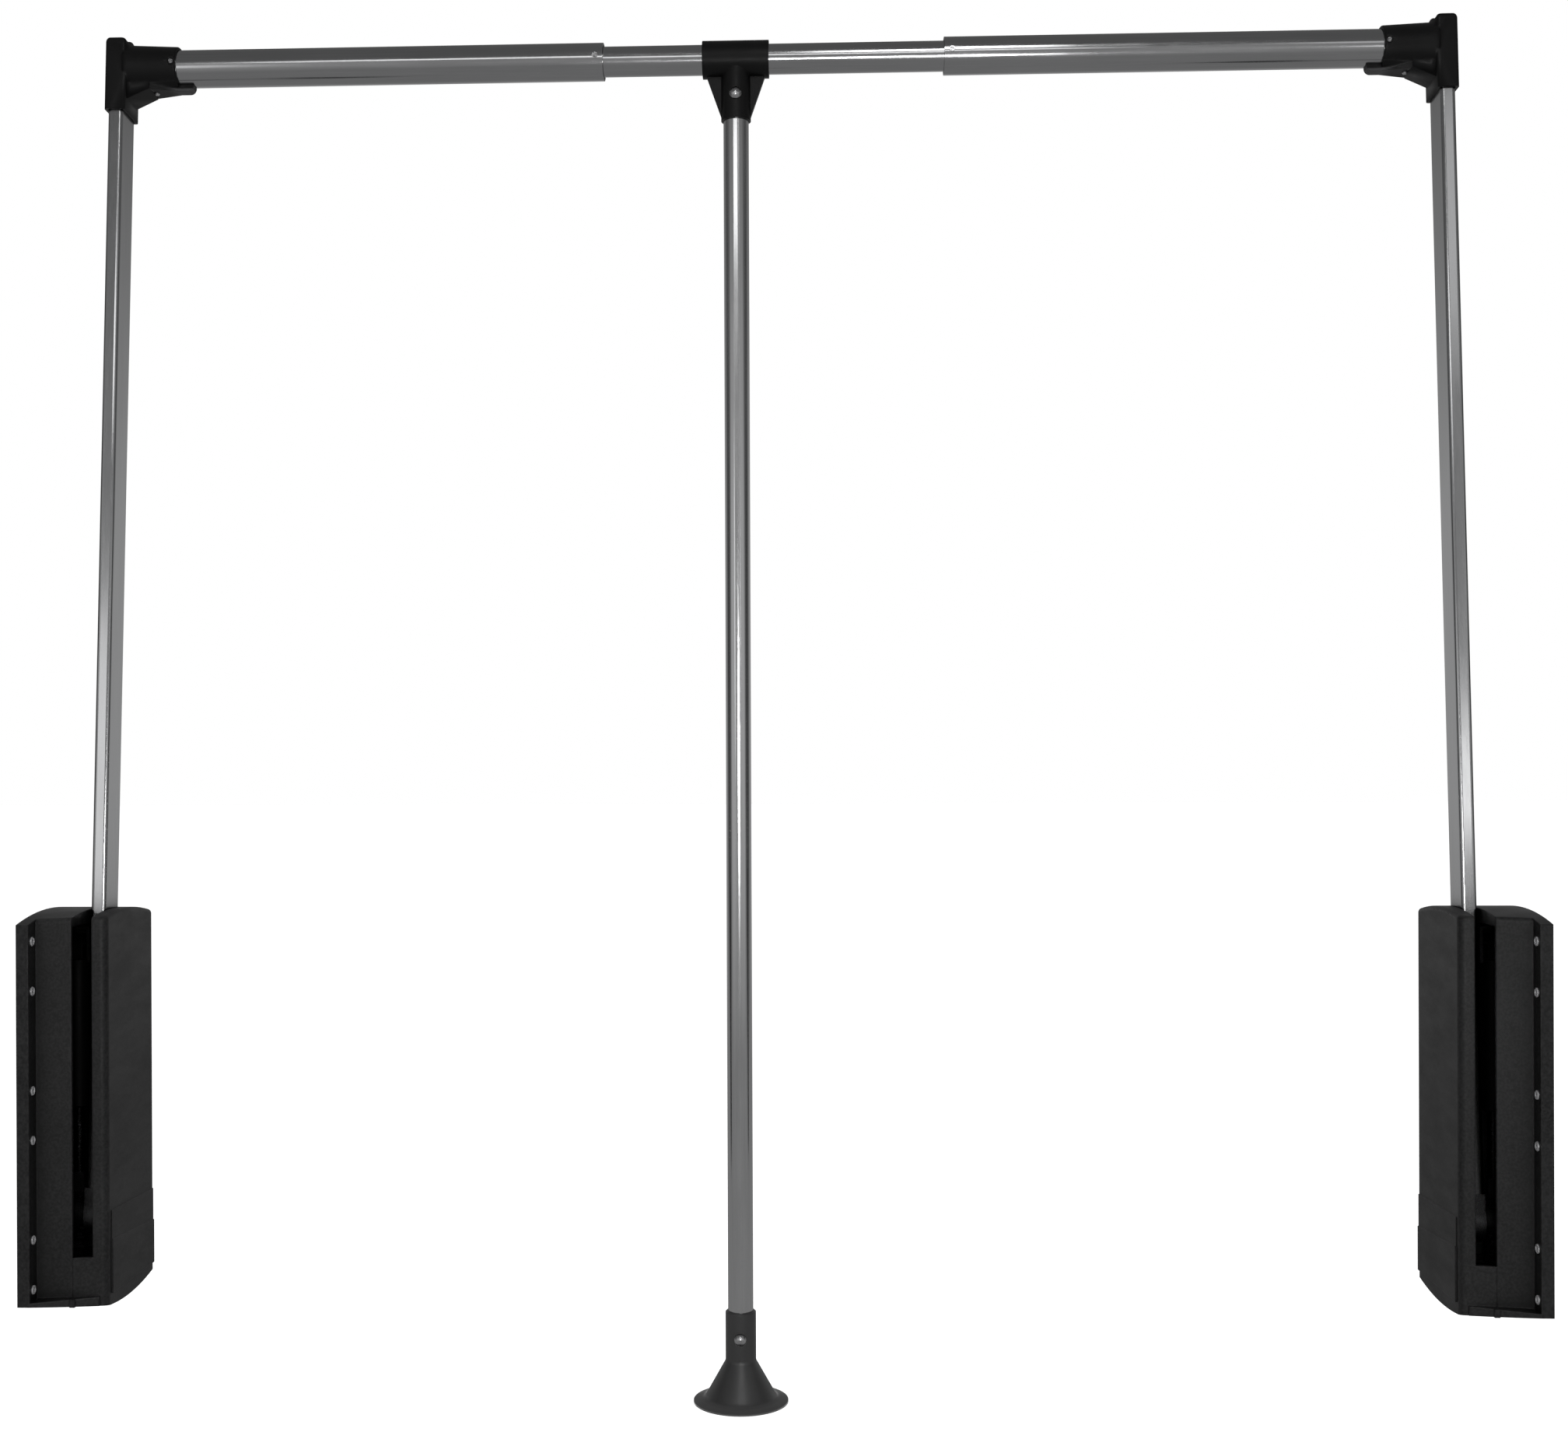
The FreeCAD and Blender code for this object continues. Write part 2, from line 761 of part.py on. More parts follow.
def pivot_shaft():
    """The shaft that the arm and the gear sector are keyed to, grooved for its retaining ring."""
    body = make_body("left_pivot_shaft")
    ends = make_sketch(body, "journals", "YZ_Plane", "plate_start + slack")
    circle(ends, "0", "0", "shaft_radius")
    pad(body, ends, "shaft_end - plate_start - slack")
    flats = make_sketch(body, "flats", "YZ_Plane", "gear_hub_start")
    half = "sqrt(shaft_radius ^ 2 - shaft_flat ^ 2)"
    for side in ("", "-"):
        corners = [(f"{side}shaft_flat", f"-{half} * 1.5"), (f"{side}(shaft_radius + 1)", f"-{half} * 1.5")]
        corners += [(f"{side}(shaft_radius + 1)", f"{half} * 1.5"), (f"{side}shaft_flat", f"{half} * 1.5")]
        outline(flats, corners if side == "" else corners[::-1])
    cut(body, flats, "arm_x + arm_width / 2 - gear_hub_start")
    groove = make_sketch(body, "ring_groove", "YZ_Plane", "chassis_width + slack / 2")
    circle(groove, "0", "0", "shaft_radius + 1")
    circle(groove, "0", "0", "groove_radius")
    cut(body, groove, "ring_width")
    body.Placement = leaned()
    return body


def retaining_ring():
    """The ring that keeps the shaft in its bushes."""
    body = make_body("left_retaining_ring")
    sketch = make_sketch(body, "ring", "YZ_Plane", "chassis_width + slack")
    circle(sketch, "0", "0", "ring_radius")
    circle(sketch, "0", "0", "groove_radius + slack / 2")
    pad(body, sketch, "ring_width - slack")
    mouth = make_sketch(body, "mouth", "YZ_Plane", "chassis_width")
    rectangle(mouth, "0", "-groove_radius * 0.7", "ring_radius + 1", "groove_radius * 0.7")
    cut(body, mouth, "ring_width")
    body.Placement = leaned()
    return body


# ---------------------------------------------------------------- gear sector and rack


def tooth_flank(radius):
    """Half the angle that an involute tooth takes up at the radius."""
    pitch_radius = number("gear_module * gear_teeth / 2")
    pressure = math.radians(number("pressure_angle"))
    base_radius = pitch_radius * math.cos(pressure)
    here = math.acos(min(1.0, base_radius / radius))
    half_at_pitch = math.pi / (2 * number("gear_teeth")) - number("backlash") / 4 / pitch_radius
    return half_at_pitch + (math.tan(pressure) - pressure) - (math.tan(here) - here)


def add_gear_tooth(body, heading):
    """One involute tooth, centred on the heading in degrees from the front-to-back axis."""
    module = number("gear_module")
    pitch_radius = number("gear_module * gear_teeth / 2")
    base_radius = pitch_radius * math.cos(math.radians(number("pressure_angle")))
    tip_radius = pitch_radius + module
    middle = math.radians(heading)

    def spot(radius, side):
        angle = middle + side * tooth_flank(radius)
        return Vector(radius * math.cos(angle), radius * math.sin(angle), 0)

    def below(side):
        angle = middle + side * tooth_flank(base_radius)
        radius = pitch_radius - 1.5 * module
        return Vector(radius * math.cos(angle), radius * math.sin(angle), 0)

    sketch = make_sketch(body, "tooth", "YZ_Plane", "gear_start")
    radii = (base_radius, (base_radius + tip_radius) / 2, tip_radius)
    right = [spot(radius, -1) for radius in radii]
    left = [spot(radius, 1) for radius in radii]
    sketch.addGeometry(
        [
            Part.LineSegment(below(-1), right[0]),
            Part.Arc(*right),
            Part.LineSegment(right[2], left[2]),
            Part.Arc(*left[::-1]),
            Part.LineSegment(left[0], below(1)),
            Part.LineSegment(below(1), below(-1)),
        ]
    )
    return pad(body, sketch, "gear_thickness")


def pattern_teeth(body, tooth, kind, axis_role, extent, count):
    """Repeats a tooth along a line or about an axis of the body."""
    pattern = body.newObject(kind, "teeth")
    pattern.Originals = [tooth]
    axis = next(item for item in body.Origin.OriginFeatures if item.Role == axis_role)
    if kind == "PartDesign::PolarPattern":
        pattern.Axis = (axis, [""])
        pattern.setExpression("Angle", named(extent))
    else:
        pattern.Direction = (axis, [""])
        pattern.setExpression("Length", named(extent))
    pattern.setExpression("Occurrences", named(count))
    pattern.Reversed = True
    body.Tip = pattern


def gear_sector():
    """The toothed sector on the pivot shaft that drives the rack."""
    body = make_body("left_gear_sector")
    lean = number("arm_lean")
    step = 360 / number("gear_teeth")
    heading = lean + step / 2
    first = math.radians(heading + step / 2)
    last = math.radians(heading - step * (number("sector_teeth") - 0.5))
    root = number("gear_module * gear_teeth / 2 - 1.25 * gear_module")
    web = make_sketch(body, "web", "YZ_Plane", "gear_start")
    low = Vector(root * math.cos(last), root * math.sin(last), 0)
    high = Vector(root * math.cos(first), root * math.sin(first), 0)
    web.addGeometry(
        [
            Part.LineSegment(Vector(0, 0, 0), low),
            Part.ArcOfCircle(Part.Circle(Vector(0, 0, 0), Vector(0, 0, 1), root), last, first),
            Part.LineSegment(high, Vector(0, 0, 0)),
        ]
    )
    pad(body, web, "gear_thickness")
    hub = make_sketch(body, "hub", "YZ_Plane", "gear_hub_start")
    circle(hub, "0", "0", "gear_hub_radius")
    pad(body, hub, "gear_hub_end - gear_hub_start")
    bore = make_sketch(body, "bore", "YZ_Plane", "gear_hub_start")
    double_d(bore, "slack / 2")
    cut(body, bore, "gear_hub_end - gear_hub_start")
    tooth = add_gear_tooth(body, heading)
    pattern_teeth(
        body,
        tooth,
        "PartDesign::PolarPattern",
        "X_Axis",
        "360 * (sector_teeth - 1) / gear_teeth",
        "sector_teeth",
    )
    body.Placement = leaned()
    return body


def rack():
    """The rack that the sector lifts against the gas spring, with the head that takes its rod."""
    body = make_body("left_rack")
    pitch = "(pi * gear_module)"
    pitch_line = "(gear_module * gear_teeth / 2)"
    root_line = f"({pitch_line} + 1.25 * gear_module)"
    bar = make_sketch(body, "bar", "YZ_Plane", "gear_start")
    rectangle(bar, root_line, "-rack_foot", "rack_back", "rack_head_bottom")
    pad(body, bar, "gear_thickness")
    head = make_sketch(body, "head", "XY_Plane", "rack_head_bottom")
    rectangle(head, "gear_start - 1", "guide_lip - 6", "gear_start + gear_thickness + 1", "rack_back + 2")
    pad(body, head, "rack_head_top - rack_head_bottom")
    seat = make_sketch(body, "rod_seat", "XY_Plane", "rack_head_bottom + 1")
    circle(seat, "spring_x", "spring_y", "rod_radius + slack / 2")
    cut(body, seat, "rack_head_top - rack_head_bottom")
    tooth = make_sketch(body, "tooth", "YZ_Plane", "gear_start")
    flank = "tan(pressure_angle * 1 deg)"
    half = f"({pitch} / 4 - backlash / 4)"
    tip = f"({half} - gear_module * {flank})"
    foot = f"({half} + 1.4 * gear_module * {flank})"
    outline(
        tooth,
        [
            (f"{pitch_line} - gear_module", f"{pitch} - {tip}"),
            (f"{pitch_line} + 1.4 * gear_module", f"{pitch} - {foot}"),
            (f"{pitch_line} + 1.4 * gear_module", f"{pitch} + {foot}"),
            (f"{pitch_line} - gear_module", f"{pitch} + {tip}"),
        ],
    )
    feature = pad(body, tooth, "gear_thickness")
    extent = f"{pitch} * (rack_teeth - 1)"
    pattern_teeth(body, feature, "PartDesign::LinearPattern", "Z_Axis", extent, "rack_teeth")
    return body


def rack_guide():
    """The plastic channel on the chassis that keeps the rack in mesh."""
    body = make_body("left_rack_guide")
    room = "3 * slack"
    sketch = make_sketch(body, "channel", "XY_Plane", "-guide_bottom")
    outline(
        sketch,
        [
            ("plate_start + plate", "guide_lip"),
            (f"gear_start - {room}", "guide_lip"),
            (f"gear_start - {room}", f"rack_back + {room}"),
            (f"gear_start + gear_thickness + {room}", f"rack_back + {room}"),
            (f"gear_start + gear_thickness + {room}", "guide_lip"),
            (f"gear_start + gear_thickness + {room} + 3", "guide_lip"),
            (f"gear_start + gear_thickness + {room} + 3", "guide_back"),
            ("plate_start + plate", "guide_back"),
        ],
    )
    pad(body, sketch, "guide_bottom + guide_top")
    return body


# ---------------------------------------------------------------- gas spring


def gas_cylinder():
    """The gas spring's cylinder, hung from the anchor pin by its eye."""
    body = make_body("left_gas_cylinder")
    profile = make_sketch(body, "profile", "XZ_Plane", "0")
    outline(
        profile,
        [
            ("rod_radius + slack / 2", "cylinder_bottom"),
            ("cylinder_radius - 1", "cylinder_bottom"),
            ("cylinder_radius", "cylinder_bottom + 1"),
            ("cylinder_radius", "cylinder_top - 1"),
            ("cylinder_radius - 1", "cylinder_top"),
            ("0", "cylinder_top"),
            ("0", "cylinder_top - gland"),
            ("cylinder_bore", "cylinder_top - gland"),
            ("cylinder_bore", "cylinder_bottom + gland"),
            ("rod_radius + slack / 2", "cylinder_bottom + gland"),
        ],
    )
    turn(body, profile, "V_Axis")
    neck = make_sketch(body, "neck", "YZ_Plane", "-eye_width / 2")
    rectangle(neck, "-eye_radius", "cylinder_top - 1", "eye_radius", "anchor_height")
    pad(body, neck, "eye_width")
    eye = make_sketch(body, "eye", "YZ_Plane", "-eye_width / 2")
    circle(eye, "0", "anchor_height", "eye_radius")
    pad(body, eye, "eye_width")
    bore = make_sketch(body, "eye_bore", "YZ_Plane", "-eye_width / 2")
    circle(bore, "0", "anchor_height", "anchor_pin + slack / 2")
    cut(body, bore, "eye_width")
    body.Placement = Placement(Vector(number("spring_x"), number("spring_y"), 0), Rotation())
    return body


def piston_rod():
    """The gas spring's rod, screwed into the rack's head, with its piston."""
    body = make_body("left_piston_rod")
    profile = make_sketch(body, "profile", "XZ_Plane", "0")
    outline(
        profile,
        [
            ("0", "rack_head_bottom + 1"),
            ("rod_radius", "rack_head_bottom + 1"),
            ("rod_radius", "rod_top - piston_height"),
            ("piston_radius", "rod_top - piston_height"),
            ("piston_radius", "rod_top"),
            ("0", "rod_top"),
        ],
    )
    turn(body, profile, "V_Axis")
    body.Placement = Placement(Vector(number("spring_x"), number("spring_y"), 0), Rotation())
    return body


def anchor_pin():
    """The headed pin that holds the gas spring's eye in the chassis."""
    body = make_body("left_anchor_pin")
    shank = make_sketch(body, "shank", "YZ_Plane", "plate_start")
    circle(shank, "0", "0", "anchor_pin")
    pad(body, shank, "anchor_cheek - plate_start + 1.5")
    head = make_sketch(body, "head", "YZ_Plane", "anchor_cheek + slack / 2")
    circle(head, "0", "0", "anchor_pin * 1.6")
    pad(body, head, "1.5")
    body.Placement = Placement(Vector(0, number("spring_y"), number("anchor_height")), Rotation())
    return body


# ---------------------------------------------------------------- arm

SLEEVE_OUTER = "(arm_x - arm_width / 2 - sleeve_wall)"
SLEEVE_INNER = "(arm_x + arm_width / 2 + sleeve_wall)"
SOCKET_MOUTH = f"({SLEEVE_INNER} + socket_length)"
TUBE_START = f"({SLEEVE_INNER} + sleeve_wall)"
BACK_SCREW = "(sleeve_above / 3)"  # height of the screw behind the arm above the rail
MOUTH_SCREW = f"({SOCKET_MOUTH} - small_head - 1)"
LIP_SCREW = f"({SOCKET_MOUTH} - gusset_start + small_head + 1)"


def arm_hub():
    """The die-cast hub keyed to the shaft, whose tongue carries the arm."""
    body = make_body("left_arm_hub")
    boss = make_sketch(body, "boss", "YZ_Plane", "arm_x - arm_width / 2")
    circle(boss, "0", "0", "hub_radius")
    pad(body, boss, "arm_width")
    neck = make_sketch(body, "neck", "YZ_Plane", "arm_x - arm_width / 2")
    rectangle(neck, "-arm_depth / 2", "0", "arm_depth / 2", "arm_start - slack / 2")
    pad(body, neck, "arm_width")
    spacer = make_sketch(body, "spacer", "YZ_Plane", "hub_spacer_start")
    circle(spacer, "0", "0", "hub_spacer_radius")
    pad(body, spacer, "arm_x - arm_width / 2 - hub_spacer_start + 1")
    tongue = make_sketch(body, "tongue", "YZ_Plane", "arm_x - arm_width / 2 + arm_wall + slack")
    half = "(arm_depth / 2 - arm_wall - slack)"
    outline(
        tongue,
        [
            (f"-{half}", "0"),
            (half, "0"),
            (half, "tongue_end - 3"),
            (f"{half} - 3", "tongue_end"),
            (f"-{half} + 3", "tongue_end"),
            (f"-{half}", "tongue_end - 3"),
        ],
    )
    pad(body, tongue, "arm_width - 2 * arm_wall - 2 * slack")
    bore = make_sketch(body, "bore", "YZ_Plane", "hub_spacer_start")
    double_d(bore, "slack / 2")
    cut(body, bore, "arm_x + arm_width / 2 - hub_spacer_start")
    rivets = make_sketch(body, "rivet_holes", "YZ_Plane", "arm_x - arm_width / 2")
    circle(rivets, "0", "rivet_low", "rivet_radius + slack / 2")
    circle(rivets, "0", "rivet_high", "rivet_radius + slack / 2")
    cut(body, rivets, "arm_width")
    body.Placement = leaned()
    return body


def arm_tube():
    """The flat chromed tube that carries the rail."""
    body = make_body("left_arm_tube")
    section = make_sketch(body, "section", "XY_Plane", "arm_start")
    rectangle(section, "arm_x - arm_width / 2", "-arm_depth / 2", "arm_x + arm_width / 2", "arm_depth / 2")
    pad(body, section, "rail_height + arm_end - arm_start")
    round_edges(body, "outer_corners", "arm_corner", lambda edge: runs_along(edge, Vector(0, 0, 1), 100))
    hollow = make_sketch(body, "hollow", "XY_Plane", "arm_start")
    rectangle(
        hollow,
        "arm_x - arm_width / 2 + arm_wall",
        "-arm_depth / 2 + arm_wall",
        "arm_x + arm_width / 2 - arm_wall",
        "arm_depth / 2 - arm_wall",
    )
    cut(body, hollow, "rail_height + arm_end - arm_start")
    holes = make_sketch(body, "rivet_holes", "YZ_Plane", "arm_x - arm_width / 2")
    circle(holes, "0", "rivet_low", "rivet_radius + slack / 2")
    circle(holes, "0", "rivet_high", "rivet_radius + slack / 2")
    cut(body, holes, "arm_width")
    back = make_sketch(body, "connector_hole", "XZ_Plane", "-arm_depth / 2")
    circle(back, "arm_x", f"rail_height + {BACK_SCREW}", "small_shank + slack / 2")
    cut(body, back, "2 * arm_wall")
    body.Placement = leaned()
    return body


def arm_rivets():
    """The two flush rivets through the arm and the hub's tongue."""
    body = make_body("rivet")
    sketch = make_sketch(body, "shank", "YZ_Plane", "arm_x - arm_width / 2")
    circle(sketch, "0", "0", "rivet_radius")
    pad(body, sketch, "arm_width")
    lean = leaned()
    placements = []
    for height in ("rivet_low", "rivet_high"):
        placements.append(lean.multiply(Placement(Vector(0, 0, number(height)), Rotation())))
    return repeat("left_arm_rivets", body, placements)


# ---------------------------------------------------------------- rail


def corner_connector():
    """The moulded corner: a box sleeve on the arm, a round socket for the rail and a gusset."""
    body = make_body("left_corner_connector")
    half_depth = "(arm_depth / 2 + sleeve_wall)"
    sleeve = make_sketch(body, "sleeve", "XZ_Plane", f"-{half_depth}")
    outline(
        sleeve,
        [
            (SLEEVE_OUTER, "rail_height - sleeve_below"),
            (SLEEVE_INNER, "rail_height - sleeve_below"),
            (SLEEVE_INNER, "rail_height + sleeve_above - sleeve_shoulder", "sleeve_shoulder"),
            (f"{SLEEVE_INNER} - sleeve_shoulder", "rail_height + sleeve_above"),
            (f"{SLEEVE_OUTER} + sleeve_corner", "rail_height + sleeve_above", "sleeve_corner"),
            (SLEEVE_OUTER, "rail_height + sleeve_above - sleeve_corner"),
        ],
    )
    pad(body, sleeve, f"2 * {half_depth}")
    round_edges(body, "sleeve_corners", "sleeve_wall", lambda edge: runs_along(edge, Vector(0, 0, 1), 30))
    socket = make_sketch(body, "socket", "YZ_Plane", f"{SLEEVE_INNER} - sleeve_wall")
    circle(socket, "0", "rail_height", "socket_root")
    length = "(socket_length + sleeve_wall)"
    cone = pad(body, socket, length)
    cone.setExpression("TaperAngle", named(f"-atan((socket_root - socket_radius) / {length})"))
    mouth = number(SOCKET_MOUTH)
    round_edges(body, "mouth_edge", "socket_edge", lambda edge: edge.BoundBox.XMin > mouth - 0.01)
    gusset = make_sketch(body, "gusset", "XZ_Plane", "-gusset_width / 2")
    outline(
        gusset,
        [
            (f"{SLEEVE_INNER} - 1", "rail_height - sleeve_below + gusset_rise"),
            (f"{SOCKET_MOUTH} - gusset_start", "rail_height - lip_drop"),
            (f"{SOCKET_MOUTH} - gusset_start", "rail_height - 6"),
            (f"{SLEEVE_INNER} - 1", "rail_height - 6"),
        ],
    )
    pad(body, gusset, "gusset_width")
    lip = make_sketch(body, "lip", "XZ_Plane", "-lip_width / 2")
    outline(
        lip,
        [
            (f"{SOCKET_MOUTH} - gusset_start - 6", "rail_height - lip_drop"),
            (f"{SOCKET_MOUTH} + lip_reach - 4", "rail_height - lip_drop", "4"),
            (f"{SOCKET_MOUTH} + lip_reach", "rail_height - lip_drop + 4"),
            (f"{SOCKET_MOUTH} + lip_reach", "rail_height - 6"),
            (f"{SOCKET_MOUTH} - gusset_start - 6", "rail_height - 6"),
        ],
    )
    pad(body, lip, "lip_width")
    bore = make_sketch(body, "rail_bore", "YZ_Plane", TUBE_START)
    circle(bore, "0", "rail_height", "outer_tube_radius + slack / 2")
    cut(body, bore, "socket_length + lip_reach")
    pocket = make_sketch(body, "arm_pocket", "XY_Plane", "rail_height - sleeve_below")
    rectangle(
        pocket,
        "arm_x - arm_width / 2 - slack / 2",
        "-arm_depth / 2 - slack / 2",
        "arm_x + arm_width / 2 + slack / 2",
        "arm_depth / 2 + slack / 2",
    )
    cut(body, pocket, "sleeve_below + arm_end + slack")
    seat = make_sketch(body, "mouth_screw_seat", "XZ_Plane", "socket_radius - small_seat")
    circle(seat, MOUTH_SCREW, "rail_height", "small_head + slack")
    cut(body, seat, "1")
    mouth = make_sketch(body, "mouth_screw_hole", "XZ_Plane", "outer_tube_radius - outer_tube_wall")
    circle(mouth, MOUTH_SCREW, "rail_height", "small_shank + slack / 2")
    cut(body, mouth, "small_length")
    below = make_sketch(body, "lip_screw_hole", "XY_Plane", "rail_height - lip_drop")
    circle(below, LIP_SCREW, "0", "small_shank + slack / 2")
    cut(body, below, "small_length + slack")
    behind = make_sketch(body, "back_screw_hole", "XZ_Plane", f"-{half_depth}")
    circle(behind, "arm_x", f"rail_height + {BACK_SCREW}", "small_shank + slack / 2")
    cut(body, behind, "2 * sleeve_wall")
    body.Placement = leaned()
    return body


def small_screw():
    """The pan-headed screw that fixes the connectors, modelled with its seat at its origin."""
    body = make_body("small_screw")
    sketch = make_sketch(body, "profile", "XZ_Plane")
    outline(
        sketch,
        [
            ("0", "-small_length"),
            ("small_shank", "-small_length + 1"),
            ("small_shank", "0"),
            ("small_head", "0"),
            ("small_head", "small_height / 3"),
            ("small_head * 2 / 3", "small_height"),
            ("0", "small_height"),
        ],
    )
    turn(body, sketch, "V_Axis")
    drive = make_sketch(body, "drive", "XY_Plane", "small_height - 0.6")
    rectangle(drive, "-small_head * 0.6", "-0.3", "small_head * 0.6", "0.3")
    cut(body, drive, "1")
    return body


def connector_screws(screw):
    """The rail screw at the socket's mouth, the one under it and the one behind the arm."""
    lean = leaned()
    up = Vector(0, 0, 1)
    spots = (
        (MOUTH_SCREW, "-socket_radius + small_seat", "rail_height", Vector(0, -1, 0)),
        (LIP_SCREW, "0", "rail_height - lip_drop", Vector(0, 0, -1)),
        ("arm_x", "arm_depth / 2 + sleeve_wall", f"rail_height + {BACK_SCREW}", Vector(0, 1, 0)),
    )
    placements = []
    for x, y, z, facing in spots:
        seat = Placement(Vector(number(x), number(y), number(z)), Rotation(up, facing))
        placements.append(lean.multiply(seat))
    return repeat("left_connector_screws", screw, placements)


def outer_tube():
    """The outer, larger tube of the telescopic rail."""
    body = make_body("left_outer_tube")
    section = make_sketch(body, "section", "YZ_Plane", TUBE_START)
    circle(section, "0", "rail_height", "outer_tube_radius")
    circle(section, "0", "rail_height", "outer_tube_radius - outer_tube_wall")
    pad(body, section, f"outer_tube_end - {TUBE_START}")
    holes = make_sketch(body, "screw_holes", "XZ_Plane", "outer_tube_radius - 2 * outer_tube_wall")
    circle(holes, "outer_tube_end - lock_screw_inset", "rail_height", "lock_screw_radius")
    circle(holes, MOUTH_SCREW, "rail_height", "small_shank + slack / 2")
    cut(body, holes, "3 * outer_tube_wall")
    body.Placement = leaned()
    return body


def tube_liner():
    """The plastic bush in the outer tube's open end, which the inner tube slides through."""
    body = make_body("left_tube_liner")
    section = make_sketch(body, "section", "YZ_Plane", "outer_tube_end - liner_length")
    circle(section, "0", "rail_height", "inner_tube_radius + slack / 2 + liner_wall")
    circle(section, "0", "rail_height", "inner_tube_radius + slack / 2")
    pad(body, section, "liner_length")
    hole = make_sketch(body, "screw_hole", "XZ_Plane", "inner_tube_radius")
    circle(hole, "outer_tube_end - lock_screw_inset", "rail_height", "lock_screw_radius")
    cut(body, hole, "liner_wall + slack")
    body.Placement = leaned()
    return body


def lock_screw():
    """The set screw that fixes the rail's width."""
    body = make_body("left_lock_screw")
    section = make_sketch(body, "section", "XZ_Plane", "inner_tube_radius + slack / 2")
    circle(section, "outer_tube_end - lock_screw_inset", "rail_height", "lock_screw_radius - slack / 2")
    pad(body, section, "outer_tube_radius - inner_tube_radius + 0.3")
    drive = make_sketch(body, "drive", "XZ_Plane", "outer_tube_radius - 0.4")
    circle(drive, "outer_tube_end - lock_screw_inset", "rail_height", "lock_screw_radius / 2")
    cut(body, drive, "2")
    body.Placement = leaned()
    return body


def inner_tube():
    """The inner tube of the telescopic rail."""
    body = make_body("inner_tube")
    section = make_sketch(body, "section", "YZ_Plane", "-inner_tube_length / 2")
    circle(section, "0", "0", "inner_tube_radius")
    circle(section, "0", "0", "inner_tube_radius - inner_tube_wall")
    pad(body, section, "inner_tube_length")
    body.Placement = at_rail("overall_width / 2")
    return body


# ---------------------------------------------------------------- handle

HANDLE_X = "overall_width / 2 - bracket_offset"
FOOT_TOP = "(-handle_top - handle_length + foot_socket_depth)"


def handle_bracket():
    """The moulded bracket that turns on the rail and holds the pull rod."""
    body = make_body("handle_bracket")
    sleeve = make_sketch(body, "sleeve", "YZ_Plane", "-bracket_length / 2")
    circle(sleeve, "0", "0", "bracket_radius")
    pad(body, sleeve, "bracket_length")
    socket = make_sketch(body, "socket", "XY_Plane", "-bracket_drop")
    circle(socket, "0", "0", "bracket_socket")
    pad(body, socket, "bracket_drop - 6")
    web = make_sketch(body, "web", "XZ_Plane", "-bracket_web / 2")
    outline(
        web,
        [
            ("-bracket_web_bottom / 2", "-bracket_drop"),
            ("bracket_web_bottom / 2", "-bracket_drop"),
            ("bracket_web_top / 2", "-bracket_shoulder"),
            ("bracket_web_top / 2", "-4"),
            ("-bracket_web_top / 2", "-4"),
            ("-bracket_web_top / 2", "-bracket_shoulder"),
        ],
    )
    pad(body, web, "bracket_web")
    bore = make_sketch(body, "rail_bore", "YZ_Plane", "-bracket_length / 2")
    circle(bore, "0", "0", "bracket_bore")
    cut(body, bore, "bracket_length")
    seat = make_sketch(body, "rod_socket", "XY_Plane", "-bracket_drop")
    circle(seat, "0", "0", "handle_radius + slack / 2")
    cut(body, seat, "bracket_drop - handle_top + slack")
    hole = make_sketch(body, "screw_hole", "XZ_Plane", "0")
    circle(hole, "0", "-bracket_screw_drop", "dome_shank + slack / 2")
    cut(body, hole, "bracket_socket + 1")
    flat = make_sketch(body, "screw_seat", "XZ_Plane", "bracket_socket - dome_seat")
    circle(flat, "0", "-bracket_screw_drop", "dome_head + slack")
    cut(body, flat, "dome_seat + 1")
    body.Placement = at_rail(HANDLE_X)
    return body


def handle_tube():
    """The chromed pull rod."""
    body = make_body("handle_tube")
    section = make_sketch(body, "section", "XY_Plane", "-handle_top - handle_length")
    circle(section, "0", "0", "handle_radius")
    circle(section, "0", "0", "handle_radius - handle_wall")
    pad(body, section, "handle_length")
    holes = make_sketch(body, "screw_holes", "XZ_Plane", "0")
    circle(holes, "0", "-bracket_screw_drop", "dome_shank + slack / 2")
    circle(holes, "0", f"{FOOT_TOP} - foot_screw_drop", "dome_shank + slack / 2")
    cut(body, holes, "handle_radius + 1")
    body.Placement = at_rail(HANDLE_X)
    return body


